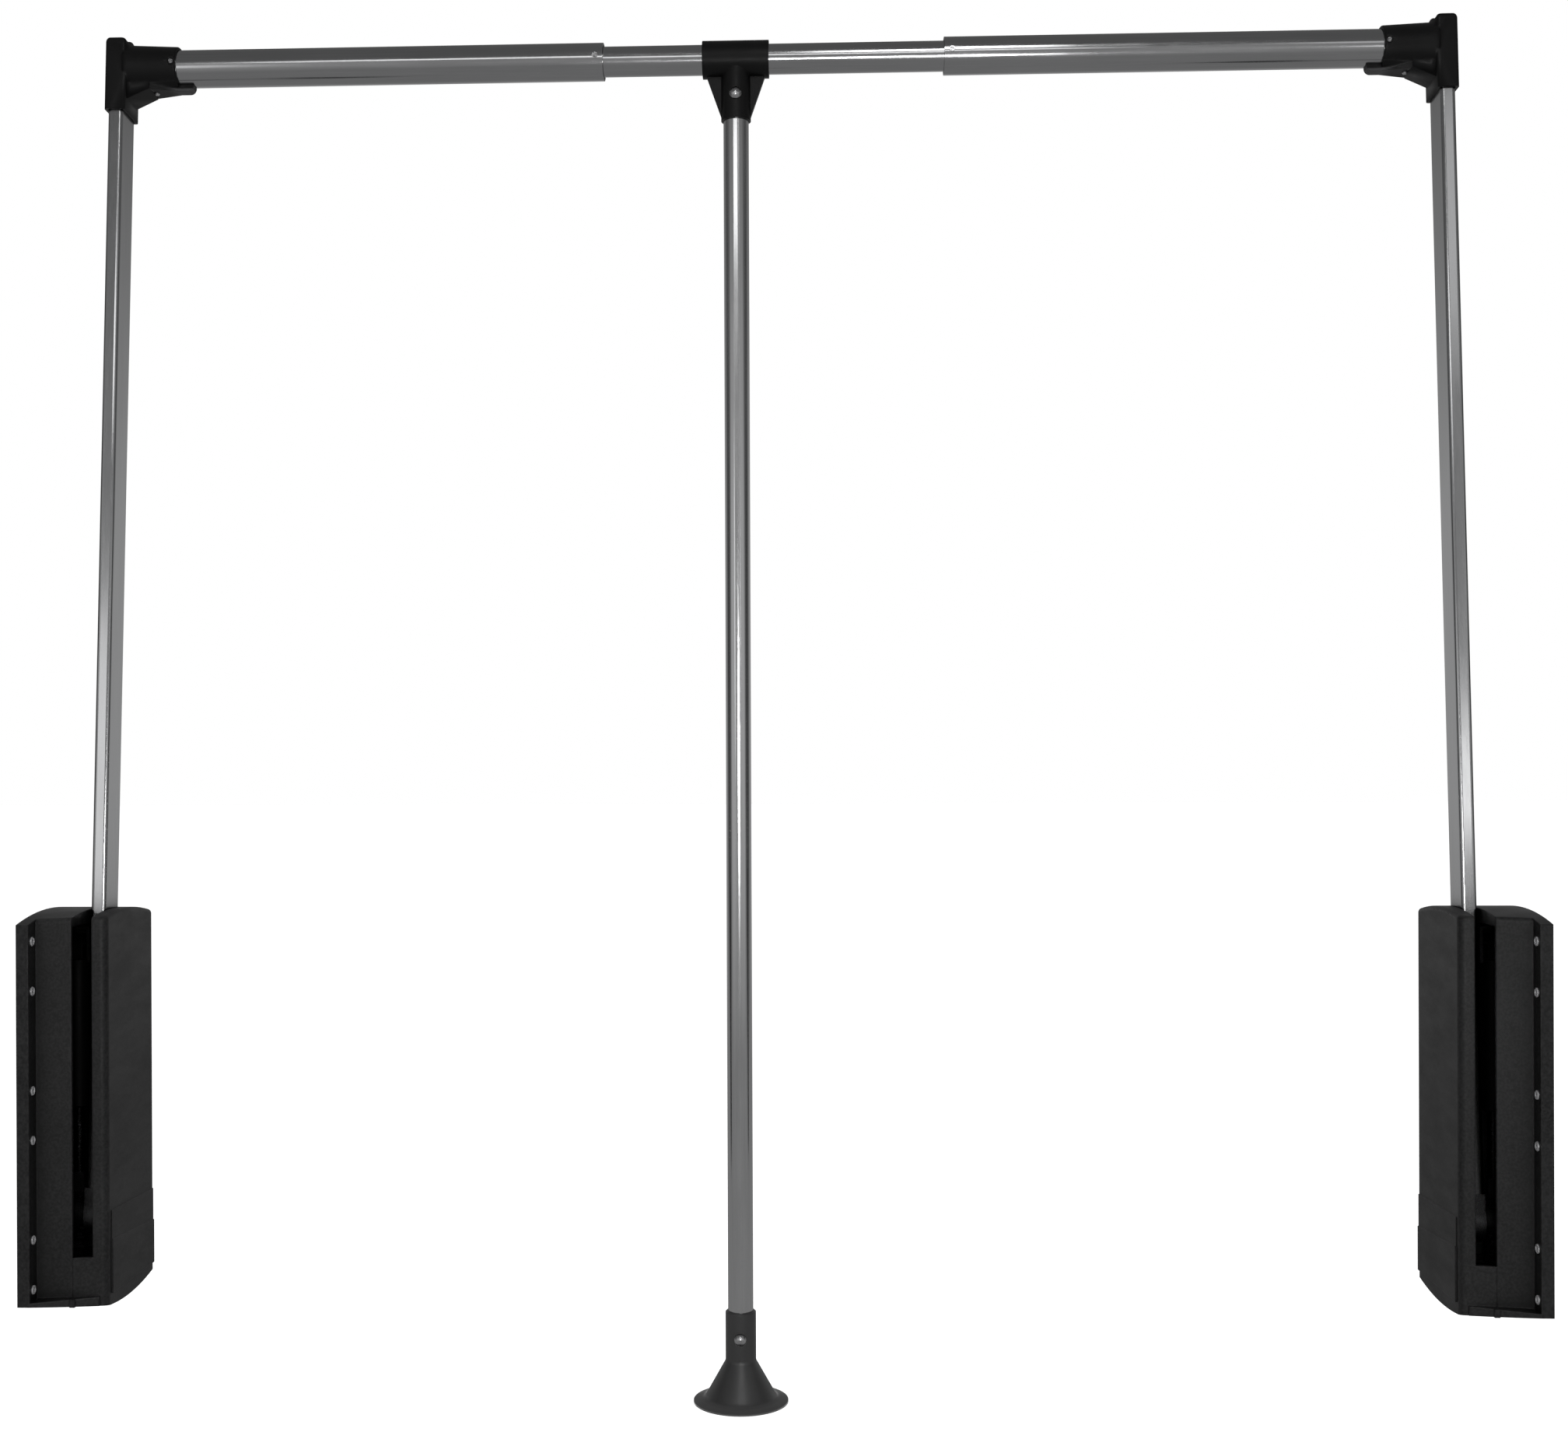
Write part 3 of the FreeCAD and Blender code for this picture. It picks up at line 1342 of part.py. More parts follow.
def handle_foot():
    """The bell-shaped grip on the rod's lower end, hollow underneath."""
    body = make_body("handle_foot")
    profile = make_sketch(body, "profile", "XZ_Plane", "0")
    outline(
        profile,
        [
            ("0", f"{FOOT_TOP} - foot_socket_depth - foot_wall"),
            ("foot_collar_radius - foot_wall", f"{FOOT_TOP} - foot_socket_depth - foot_wall"),
            ("foot_bell_bottom - foot_wall", f"{FOOT_TOP} - foot_height + foot_disc"),
            ("foot_bell_bottom", f"{FOOT_TOP} - foot_height"),
            ("foot_disc_radius", f"{FOOT_TOP} - foot_height"),
            ("foot_disc_radius", f"{FOOT_TOP} - foot_height + foot_disc / 2"),
            ("foot_bell_bottom + 3", f"{FOOT_TOP} - foot_height + foot_disc", "-6"),
            ("foot_bell_bottom - 1", f"{FOOT_TOP} - foot_height + foot_disc + 3"),
            ("foot_bell_top", f"{FOOT_TOP} - foot_collar - 1.5", "-5"),
            ("foot_collar_radius", f"{FOOT_TOP} - foot_collar + 1.5"),
            ("foot_collar_radius", f"{FOOT_TOP} - 1"),
            ("foot_collar_radius - 1", FOOT_TOP),
            ("handle_radius + slack / 2", FOOT_TOP),
            ("handle_radius + slack / 2", f"{FOOT_TOP} - foot_socket_depth"),
            ("0", f"{FOOT_TOP} - foot_socket_depth"),
        ],
    )
    turn(body, profile, "V_Axis")
    rib_level = f"{FOOT_TOP} - foot_height + foot_disc"
    ribs = (("cross_rib", "foot_rib_reach", "foot_rib / 2"), ("long_rib", "foot_rib / 2", "foot_rib_reach"))
    for name, across, along in ribs:
        rib = make_sketch(body, name, "XY_Plane", rib_level)
        rectangle(rib, f"-{across}", f"-{along}", across, along)
        pad(body, rib, "foot_rib_height")
    hole = make_sketch(body, "screw_hole", "XZ_Plane", "0")
    circle(hole, "0", f"{FOOT_TOP} - foot_screw_drop", "dome_shank + slack / 2")
    cut(body, hole, "foot_collar_radius + 1")
    flat = make_sketch(body, "screw_seat", "XZ_Plane", "foot_collar_radius - dome_seat")
    circle(flat, "0", f"{FOOT_TOP} - foot_screw_drop", "dome_head + slack")
    cut(body, flat, "dome_seat + 1")
    body.Placement = at_rail(HANDLE_X)
    return body


def dome_screw(label, height, seat_radius):
    """A plain domed pin that fixes the pull rod, facing the front."""
    body = make_body(label)
    sketch = make_sketch(body, "profile", "XZ_Plane")
    outline(
        sketch,
        [
            ("0", "-6"),
            ("dome_shank", "-5"),
            ("dome_shank", "0"),
            ("dome_head", "0", "dome_head * 1.25"),
            ("dome_flat", "dome_height"),
            ("0", "dome_height"),
        ],
    )
    turn(body, sketch, "V_Axis")
    facing = Placement(Vector(0, -number(seat_radius), number(height)), Rotation(Vector(0, 0, 1), Vector(0, -1, 0)))
    body.Placement = at_rail(HANDLE_X).multiply(facing)
    return body


# ---------------------------------------------------------------- the whole lift


def build():
    """Makes every sub-part and returns those that are written out."""
    make_sheet()
    left = [
        outer_shell(),
        inner_shell(),
        mounting_eyelets(),
        casing_screws(),
        chassis(),
        pivot_bushes(),
        pivot_shaft(),
        retaining_ring(),
        gear_sector(),
        rack(),
        rack_guide(),
        gas_cylinder(),
        piston_rod(),
        anchor_pin(),
        arm_hub(),
        arm_tube(),
        arm_rivets(),
        corner_connector(),
        connector_screws(small_screw()),
        outer_tube(),
        tube_liner(),
        lock_screw(),
    ]
    centre = [
        inner_tube(),
        handle_bracket(),
        handle_tube(),
        handle_foot(),
        dome_screw("bracket_screw", "-bracket_screw_drop", "bracket_socket - dome_seat"),
        dome_screw("foot_screw", f"{FOOT_TOP} - foot_screw_drop", "foot_collar_radius - dome_seat"),
    ]
    right = [mirror(piece) for piece in left]
    document.recompute()
    return left + right + centre


def check(pieces):
    """Stops if any object failed or any sub-part is not a set of valid closed solids."""
    for item in document.Objects:
        if "Invalid" in item.State or "Error" in item.State:
            raise RuntimeError(f"{item.Name} failed: {item.State}")
    for piece in pieces:
        shape = piece.Shape
        if shape.isNull() or not shape.isValid() or not shape.Solids:
            raise RuntimeError(f"{piece.Label} has no valid solid")


def export(pieces):
    """Writes one STEP file for each sub-part."""
    os.makedirs("parts", exist_ok=True)
    for piece in pieces:
        piece.Shape.exportStep(f"parts/{piece.Label}.step")


sub_parts = build()
check(sub_parts)
export(sub_parts)
print(f"{len(sub_parts)} sub-parts written")
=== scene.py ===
"""Looks of the pull-down wardrobe lift: finishes, floor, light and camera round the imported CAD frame.

All lengths are in metres. Two CAD pieces, the corner connectors, are replaced by reshaped copies.
"""

import json
import math

import bmesh
import bpy
from mathutils import Matrix, Vector


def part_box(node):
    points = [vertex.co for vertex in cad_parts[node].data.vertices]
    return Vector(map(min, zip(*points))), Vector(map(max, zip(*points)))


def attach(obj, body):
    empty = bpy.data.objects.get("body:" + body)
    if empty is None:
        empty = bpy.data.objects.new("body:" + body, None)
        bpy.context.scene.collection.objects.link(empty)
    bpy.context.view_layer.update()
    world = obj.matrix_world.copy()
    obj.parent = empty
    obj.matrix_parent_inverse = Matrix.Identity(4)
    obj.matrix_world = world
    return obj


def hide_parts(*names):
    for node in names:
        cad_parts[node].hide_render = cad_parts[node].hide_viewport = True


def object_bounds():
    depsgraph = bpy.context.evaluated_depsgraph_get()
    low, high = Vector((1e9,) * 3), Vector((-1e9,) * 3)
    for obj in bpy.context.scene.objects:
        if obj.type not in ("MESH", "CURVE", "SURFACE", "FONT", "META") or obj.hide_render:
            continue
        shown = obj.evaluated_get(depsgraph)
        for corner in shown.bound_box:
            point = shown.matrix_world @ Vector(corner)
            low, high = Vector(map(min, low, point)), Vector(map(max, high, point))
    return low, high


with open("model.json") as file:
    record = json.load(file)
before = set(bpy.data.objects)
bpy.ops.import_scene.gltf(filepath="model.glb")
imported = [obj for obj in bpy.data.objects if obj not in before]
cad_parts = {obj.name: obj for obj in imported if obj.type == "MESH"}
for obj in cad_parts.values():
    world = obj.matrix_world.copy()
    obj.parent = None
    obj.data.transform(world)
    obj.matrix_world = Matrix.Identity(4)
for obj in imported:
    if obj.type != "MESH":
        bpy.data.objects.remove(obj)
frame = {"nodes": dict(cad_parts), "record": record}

CAD_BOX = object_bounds()
CENTRE = (CAD_BOX[0] + CAD_BOX[1]) / 2
LOWEST = CAD_BOX[0].z
SIDES = ("left", "right")
SLOTS = {part["node"]: part["material_slot"] for part in frame["record"]["subparts"]}


# ---------------------------------------------------------------- helpers

# Rays that the shader nodes for bevels and hollows send out.
SHADER_RAYS = 6

# The colour sockets of a Mix node, which share their names with other sockets of it.
MIX_FIRST, MIX_SECOND, MIX_RESULT = 6, 7, 2

# Between these values lies most of a cloudy noise.
NOISE_START, NOISE_END = 0.3, 0.7

# A stretch of coordinates that leaves them as they are.
EVEN = (1.0, 1.0, 1.0)


def grey(tone):
    return (tone, tone, tone)


def opaque(color):
    return (*color, 1.0)


def add_object(name, data):
    """A new object in the scene."""
    made = bpy.data.objects.new(name, data)
    bpy.context.scene.collection.objects.link(made)
    return made


def add_form(name, form):
    """A new object with the mesh of a form, which it uses up."""
    mesh = bpy.data.meshes.new(name)
    form.to_mesh(mesh)
    form.free()
    return add_object(name, mesh)


class Finish:
    """A material under construction: one Principled shader and the nodes that feed it."""

    def __init__(self, name, color, roughness, metallic=0.0, specular=0.5):
        self.material = bpy.data.materials.new(name)
        self.material.use_nodes = True
        self.tree = self.material.node_tree
        self.shader = self.tree.nodes["Principled BSDF"]
        self.set("Base Color", opaque(color))
        self.set("Roughness", roughness)
        self.set("Metallic", metallic)
        self.set("Specular IOR Level", specular)
        self.normal = None

    def set(self, socket, value):
        self.shader.inputs[socket].default_value = value

    def node(self, kind, **values):
        """A new node; each value goes to the socket, or else the property, of that name."""
        made = self.tree.nodes.new(kind)
        for key, value in values.items():
            socket = made.inputs.get(key.replace("_", " ").title())
            if socket is None:
                setattr(made, key, value)
            else:
                socket.default_value = value
        return made

    def link(self, source, target):
        self.tree.links.new(source, target)

    def place(self, stretch=EVEN):
        """Coordinates in metres, multiplied by a factor along each axis."""
        where = self.node("ShaderNodeTexCoord")
        mapping = self.node("ShaderNodeMapping", scale=stretch)
        self.link(where.outputs["Object"], mapping.inputs["Vector"])
        return mapping.outputs["Vector"]

    def noise(self, scale, detail, stretch=EVEN, roughness=0.5):
        """Cloudy noise; scale is the number of its clouds in a metre."""
        made = self.node("ShaderNodeTexNoise", scale=scale, detail=detail, roughness=roughness)
        self.link(self.place(stretch), made.inputs["Vector"])
        return made.outputs["Fac"]

    def ramp(self, factor, low, high, start=NOISE_START, end=NOISE_END):
        """Maps a factor that goes from start to end to the range low..high."""
        made = self.node("ShaderNodeMapRange", from_min=start, from_max=end, to_min=low, to_max=high)
        self.link(factor, made.inputs["Value"])
        return made.outputs["Result"]

    def math(self, operation, first, second=0.0):
        made = self.node("ShaderNodeMath", operation=operation)
        for place, value in enumerate((first, second)):
            if isinstance(value, (int, float)):
                made.inputs[place].default_value = value
            else:
                self.link(value, made.inputs[place])
        return made.outputs["Value"]

    def blend(self, factor, first, second):
        """A colour that goes from first to second."""
        made = self.node("ShaderNodeMix", data_type="RGBA")
        self.link(factor, made.inputs["Factor"])
        for place, value in ((MIX_FIRST, first), (MIX_SECOND, second)):
            if isinstance(value, tuple):
                made.inputs[place].default_value = opaque(value)
            else:
                self.link(value, made.inputs[place])
        return made.outputs[MIX_RESULT]

    def edges(self, reach):
        """1 on edges, 0 further away from them than the reach."""
        geometry = self.node("ShaderNodeNewGeometry")
        rounded = self.node("ShaderNodeBevel", samples=SHADER_RAYS, radius=reach)
        turned = self.node("ShaderNodeVectorMath", operation="DOT_PRODUCT")
        self.link(geometry.outputs["Normal"], turned.inputs[0])
        self.link(rounded.outputs["Normal"], turned.inputs[1])
        return self.ramp(turned.outputs["Value"], low=1.0, high=0.0, start=0.8, end=0.97)

    def facing_up(self):
        """1 where the surface faces up, 0 where it doesn't."""
        geometry = self.node("ShaderNodeNewGeometry")
        split = self.node("ShaderNodeSeparateXYZ")
        self.link(geometry.outputs["Normal"], split.inputs["Vector"])
        return self.ramp(split.outputs["Z"], low=0.0, high=1.0, start=0.4, end=0.95)

    def hollows(self, reach, deepest):
        """Mask for painted shade: 1 on open faces, falling to 0 deep in corners and channels no wider
        than the reach.
        """
        made = self.node("ShaderNodeAmbientOcclusion", distance=reach, samples=SHADER_RAYS)
        return self.ramp(made.outputs["AO"], low=0.0, high=1.0, start=deepest, end=0.85)

    def rub(self, base, worn, reach, scale, detail):
        """A base colour with a worn one in patches along the edges."""
        patches = self.ramp(self.noise(scale, detail), low=0.0, high=0.4, start=0.4, end=0.65)
        return self.blend(self.math("MULTIPLY", self.edges(reach), patches), base, worn)

    def color(self, base, shade=None, reach=0.06, deepest=0.4):
        """Gives the shader a base colour, which falls to a painted shade in hollows if a shade is given.
        """
        if shade:
            base = self.blend(self.hollows(reach, deepest), shade, base)
        self.link(base, self.shader.inputs["Base Color"])

    def roughness(self, source):
        self.link(source, self.shader.inputs["Roughness"])

    def soften(self, radius):
        """Rounds the edges in the shading."""
        made = self.node("ShaderNodeBevel", samples=SHADER_RAYS, radius=radius)
        self.normal = made.outputs["Normal"]
        self.link(self.normal, self.shader.inputs["Normal"])

    def bump(self, height, distance, strength):
        """Raises the surface in the shading by a height, on top of the rounded edges."""
        made = self.node("ShaderNodeBump", strength=strength, distance=distance)
        self.link(height, made.inputs["Height"])
        if self.normal:
            self.link(self.normal, made.inputs["Normal"])
        self.normal = made.outputs["Normal"]
        self.link(self.normal, self.shader.inputs["Normal"])


# ---------------------------------------------------------------- finishes

# The axes along which the tubes are drawn.
X_AXIS, Z_AXIS = 0, 2

# Painted shade: what plastic, metal, chrome and enamel fall to in hollows, where shade falls.
PLASTIC_SHADE = grey(0.001)
METAL_SHADE = grey(0.01)
CHROME_SHADE = grey(0.015)
ENAMEL_SHADE = grey(0.0005)

# Chrome's colour is its level and this tint.
CHROME_TINT = (0.0, 0.003, 0.01)

# Darkest and lightest colour of nickel.
NICKEL = ((0.52, 0.52, 0.53), (0.70, 0.70, 0.71))
EYELET_NICKEL = ((0.44, 0.44, 0.45), (0.56, 0.56, 0.57))

# Darkest and lightest colour, roughness and specular level of the two mouldings.
# The foot's satin moulding is painted paler than the black one: painted light for the light it catches.
BLACK_MOULDING = ((0.0022, 0.0022, 0.0023), (0.0038, 0.0038, 0.0039), 0.38, 0.2)
SATIN_PAINTED_LIGHT_MOULDING = ((0.016, 0.016, 0.0163), (0.021, 0.021, 0.0213), 0.36, 0.8)

# Painted sheen: the connectors' tongue is painted paler. It changes over twice this length, along the
# rail and in height.
PAINTED_SHEEN_TONGUE = (0.030, 0.030, 0.031)
PALE_FADE = 0.004
PALE_EDGE = 0.0003


def casing_plastic():
    """Charcoal moulded plastic with a fine spark-eroded grain, worn on edges and dusty on top."""
    dark, light = (0.0022, 0.0022, 0.0023), (0.0122, 0.0122, 0.0125)
    worn, dust = (0.03, 0.03, 0.031), grey(0.07)
    made = Finish("casing_plastic", (0.007, 0.007, 0.0072), roughness=0.46, specular=0.36)
    made.soften(radius=0.0012)
    mottle = made.ramp(made.noise(scale=28.0, detail=4.0), low=0.0, high=0.3)
    speckle = made.ramp(made.noise(scale=650.0, detail=2.0), low=0.0, high=0.7, start=0.35, end=0.65)
    base = made.blend(made.math("ADD", mottle, speckle), dark, light)
    surface_color = made.rub(base, worn, reach=0.0005, scale=120.0, detail=4.0)
    drift = made.ramp(made.noise(scale=60.0, detail=5.0), low=0.02, high=0.2)
    dusty = made.blend(made.math("MULTIPLY", made.facing_up(), drift), surface_color, dust)
    # Painted shade: the colour darkens deep in corners and channels.
    made.color(dusty, PLASTIC_SHADE, reach=0.03)
    scuffs = made.noise(scale=26.0, detail=5.0, stretch=(1.0, 1.0, 3.0), roughness=0.6)
    made.roughness(made.ramp(scuffs, low=0.42, high=0.50, start=0.35, end=0.65))
    made.bump(made.noise(scale=1500.0, detail=2.0), distance=0.00004, strength=0.6)
    return made.material


def moulded_plastic(name, dark, light, roughness, specular, paler=None):
    """Glass-filled plastic of the connectors, bracket and foot: smoother, with flow marks and painted
    shade in hollows.

    paler gives, for the connectors, the height below which the plastic is painted paler as a painted
    sheen, the rail's middle and the distance from that middle within which it is paler.
    """
    made = Finish(name, dark, roughness, specular=specular)
    made.soften(radius=0.0006)
    flow = made.noise(scale=45.0, detail=4.0, stretch=(1.0, 1.0, 0.4))
    base = made.blend(made.ramp(flow, low=0.0, high=1.0), dark, light)
    surface_color = made.rub(base, grey(0.02), reach=0.0003, scale=160.0, detail=3.0)
    # Painted sheen: the tongue below the socket, from its mouth towards the rail's middle, is painted
    # lighter.
    if paler:
        height, middle, distance = paler
        split = made.node("ShaderNodeSeparateXYZ")
        made.link(made.place(), split.inputs["Vector"])
        away = made.math("ABSOLUTE", made.math("SUBTRACT", split.outputs["X"], middle))
        near = made.ramp(away, 1.0, 0.0, start=distance - PALE_FADE, end=distance + PALE_FADE)
        below = made.ramp(split.outputs["Z"], 1.0, 0.0, start=height - PALE_EDGE, end=height + PALE_EDGE)
        surface_color = made.blend(made.math("MULTIPLY", near, below), surface_color, PAINTED_SHEEN_TONGUE)
    # Painted shade: the colour darkens deep in corners.
    made.color(surface_color, PLASTIC_SHADE, reach=0.012, deepest=0.25)
    gloss = made.noise(scale=90.0, detail=4.0)
    made.roughness(made.ramp(gloss, low=roughness - 0.04, high=roughness + 0.06))
    made.bump(made.noise(scale=1800.0, detail=2.0), distance=0.00002, strength=0.5)
    return made.material


def bearing_plastic():
    """Dark acetal of the bushes, guides and liners, slightly waxy."""
    dark, light = (0.016, 0.016, 0.017), (0.024, 0.024, 0.025)
    made = Finish("bearing_plastic", (0.02, 0.02, 0.021), roughness=0.4, specular=0.4)
    made.soften(radius=0.0002)
    mottle = made.noise(scale=140.0, detail=3.0)
    # Painted shade: the colour darkens deep in hollows.
    made.color(made.blend(made.ramp(mottle, low=0.0, high=1.0), dark, light), PLASTIC_SHADE)
    made.roughness(made.ramp(mottle, low=0.34, high=0.46))
    made.bump(made.noise(scale=900.0, detail=2.0), distance=0.00002, strength=0.4)
    return made.material


def squeezed_across(along, factor):
    """A stretch of coordinates that squeezes a noise across an axis and so draws it out along it."""
    return tuple(1.0 if axis == along else factor for axis in range(3))


def chrome(name, along, darkest=0.50, lightest=0.58, hidden=False):
    """Bright chromed tube with faint draw lines along its axis and handling smears.

    What is hidden in a casing's slot gets painted shade in its hollows.
    """
    dark, light = (tuple(level + tint for tint in CHROME_TINT) for level in (darkest, lightest))
    made = Finish(name, light, roughness=0.14, metallic=1.0)
    lines = made.noise(scale=14.0, detail=4.0, stretch=squeezed_across(along, 60.0), roughness=0.6)
    smears = made.noise(scale=9.0, detail=5.0, stretch=squeezed_across(along, 5.0), roughness=0.65)
    level = made.math("ADD", *(made.ramp(source, low=0.0, high=0.5) for source in (lines, smears)))
    # Painted shade in hollows, for what is hidden in a casing's slot.
    made.color(made.blend(level, dark, light), CHROME_SHADE if hidden else None, reach=0.05)
    smeared, drawn = made.ramp(smears, low=0.10, high=0.18), made.ramp(lines, low=0.0, high=0.03)
    made.roughness(made.math("ADD", smeared, drawn))
    made.bump(lines, distance=0.00002, strength=0.3)
    return made.material


def bright_steel(name, dark, light, metallic=1.0, hidden=False):
    """Nickel-plated screws, eyelets and pins; those inside the casing get painted shade in their hollows.
    """
    made = Finish(name, light, roughness=0.24, metallic=metallic)
    made.soften(radius=0.0002)
    wear = made.noise(scale=700.0, detail=3.0)
    base = made.blend(made.ramp(wear, low=0.0, high=1.0), dark, light)
    # Painted shade in hollows, for the pieces inside the casing.
    made.color(base, METAL_SHADE if hidden else None)
    made.roughness(made.ramp(wear, low=0.2, high=0.36))
    made.bump(made.noise(scale=1500.0, detail=2.0), distance=0.00001, strength=0.4)
    return made.material


def zinc_steel():
    """Zinc-plated sheet of the chassis and gear parts, with a crystalline bloom."""
    dark, light = (0.36, 0.37, 0.38), (0.46, 0.47, 0.48)
    made = Finish("zinc_steel", (0.42, 0.43, 0.44), roughness=0.42, metallic=1.0)
    made.soften(radius=0.0003)
    cells = made.node("ShaderNodeTexVoronoi", scale=220.0)
    made.link(made.place(), cells.inputs["Vector"])
    bloom = made.ramp(cells.outputs["Distance"], low=0.0, high=1.0, start=0.0, end=0.9)
    # Painted shade: the colour darkens deep in hollows.
    made.color(made.blend(bloom, dark, light), METAL_SHADE)
    made.roughness(made.ramp(made.noise(scale=80.0, detail=4.0), low=0.34, high=0.55))
    made.bump(made.noise(scale=600.0, detail=3.0), distance=0.00002, strength=0.4)
    return made.material


def cast_zinc():
    """Die-cast zinc of the arm hub: dull, with a slightly orange-peeled skin."""
    dark, light = (0.30, 0.30, 0.31), (0.42, 0.42, 0.43)
    made = Finish("cast_zinc", dark, roughness=0.5, metallic=1.0)
    made.soften(radius=0.0005)
    skin = made.noise(scale=260.0, detail=4.0)
    # Painted shade: the colour darkens deep in hollows.
    made.color(made.blend(made.ramp(skin, low=0.0, high=1.0), dark, light), METAL_SHADE, deepest=0.45)
    made.roughness(made.ramp(skin, low=0.42, high=0.62))
    made.bump(skin, distance=0.00006, strength=0.5)
    return made.material


def black_enamel():
    """Stoved black enamel of the gas spring's cylinder."""
    dark, light = grey(0.006), grey(0.010)
    made = Finish("black_enamel", grey(0.008), roughness=0.45, specular=0.08)
    made.soften(radius=0.0003)
    drips = made.noise(scale=70.0, detail=3.0)
    # Painted shade: the colour darkens deep in hollows.
    made.color(made.blend(made.ramp(drips, low=0.0, high=1.0), dark, light), ENAMEL_SHADE)
    made.roughness(made.ramp(drips, low=0.4, high=0.52))
    made.bump(made.noise(scale=350.0, detail=2.0), distance=0.00003, strength=0.4)
    return made.material


def make_finishes():
    """The finish of each CAD node: its material slot's own, or a special one."""
    finishes = {
        "casing_plastic": casing_plastic(),
        "moulded_plastic": moulded_plastic("moulded_plastic", *BLACK_MOULDING),
        "bearing_plastic": bearing_plastic(),
        "chromed_tube": chrome("chromed_tube", along=Z_AXIS),
        "bright_steel": bright_steel("bright_steel", *NICKEL),
        "zinc_steel": zinc_steel(),
        "cast_zinc": cast_zinc(),
        "black_enamel": black_enamel(),
    }
    chosen = {name: finishes[slot] for name, slot in SLOTS.items()}
    # The painted sheen on the connectors' tongue: below this height, within this distance of the rail's
    # middle.
    paler = RAIL.z - SOCKET_RADIUS, RAIL.x, RAIL.x - SOCKET_MOUTH + PALE_FADE
    special = {
        "outer_tube": chrome("chromed_rail", along=X_AXIS),
        # The arms' chrome gets painted shade inside the casing's slot.
        "arm_tube": chrome("chromed_arm", along=Z_AXIS, hidden=True),
        "mounting_eyelets": bright_steel("eyelet_nickel", *EYELET_NICKEL, metallic=0.7),
        "corner_connector": moulded_plastic("connector_plastic", *BLACK_MOULDING, paler=paler),
    }
    # The steel inside the casing gets painted shade in its hollows.
    inside = ("piston_rod", "pivot_shaft", "retaining_ring", "anchor_pin")
    special.update(dict.fromkeys(inside, bright_steel("inner_steel", *NICKEL, hidden=True)))
    for side in SIDES:
        chosen.update({f"{side}_{name}": finish for name, finish in special.items()})
    chosen["inner_tube"] = special["outer_tube"]
    # Painted light: the pull rod's chrome is made lighter than the rail's and the arms'.
    chosen["handle_tube"] = chrome("chromed_rod", along=Z_AXIS, darkest=0.64, lightest=0.74)
    # Painted light: the foot's moulding is painted paler than the connectors' and the bracket's.
    chosen["handle_foot"] = moulded_plastic("grip_plastic_painted_light", *SATIN_PAINTED_LIGHT_MOULDING)
    return chosen


# ---------------------------------------------------------------- corner connectors

# The rail's middle.
RAIL = sum(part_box("inner_tube"), Vector()) / 2

# The connector's tongue starts at its root, runs under the socket's mouth and ends beyond it. The
# CAD tongue is wide all the way; the reshaped one is slim from the mouth on.
LIP_REACH = 0.010
LIP_ROOT = 0.019
LIP_HALF_WIDTH = 0.0035
CAD_LIP_HALF_WIDTH = 0.009
LIP_DROP = 0.0168

# Where the left tongue and its socket end along the rail.
LIP_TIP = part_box("left_corner_connector")[1].x
SOCKET_MOUTH = LIP_TIP - LIP_REACH

# The round socket that holds the rail, at its mouth and at its root.
SOCKET_RADIUS = 0.0146
SOCKET_ROOT_RADIUS = 0.0162
SOCKET_LENGTH = 0.036
SOCKET_SEGMENTS = 96

# The sleeve's round shoulder in the CAD piece, how much squarer it gets (1 keeps it, 0 makes a
# corner) and by how much it is raised.
CAD_SHOULDER = 0.007
SQUARER = 0.35
RAISED = 0.0015

# Points this close are one, a gap of a hair isn't seen, and gentler edges than this are smooth.
MERGE = 0.000001
HAIR = 0.00005
SMOOTH_BELOW = math.radians(32.0)


def body_of(node):
    """The body that a CAD node rides on."""
    groups = frame["record"]["behaviour"]["bodies"]
    return next(body for body, members in groups.items() if node in members)


def subtract(piece, cutter):
    """Cuts a cutter out of a piece for good."""
    cut = piece.modifiers.new("cut", "BOOLEAN")
    cut.operation = "DIFFERENCE"
    cut.object = cutter
    bpy.context.view_layer.update()
    finished = piece.evaluated_get(bpy.context.evaluated_depsgraph_get())
    mesh = bpy.data.meshes.new_from_object(finished)
    piece.modifiers.clear()
    piece.data = mesh
    bpy.data.objects.remove(cutter)


def side_wedge(front, low, high):
    """What is cut off one side of the tongue, so that it is slim from the socket's mouth on."""
    root, tip = SOCKET_MOUTH - LIP_ROOT, LIP_TIP + HAIR
    outer = CAD_LIP_HALF_WIDTH + HAIR
    outline = ((root, outer), (SOCKET_MOUTH, LIP_HALF_WIDTH), (tip, LIP_HALF_WIDTH), (tip, outer))
    form = bmesh.new()
    places = [(along, front * across, up) for up in (low, high) for along, across in outline]
    corners = [form.verts.new(place) for place in places]
    bmesh.ops.convex_hull(form, input=corners)
    return add_form("wedge", form)


def socket_cone(height):
    """The outside of the socket, a hair larger, with its axis along X."""
    centre = Matrix.Translation((SOCKET_MOUTH - SOCKET_LENGTH / 2, 0, height))
    form = bmesh.new()
    bmesh.ops.create_cone(
        form,
        cap_ends=True,
        segments=SOCKET_SEGMENTS,
        radius1=SOCKET_ROOT_RADIUS + HAIR,
        radius2=SOCKET_RADIUS + HAIR,
        depth=SOCKET_LENGTH,
        matrix=centre @ Matrix.Rotation(math.pi / 2, 4, "Y"),
    )
    return add_form("cone", form)


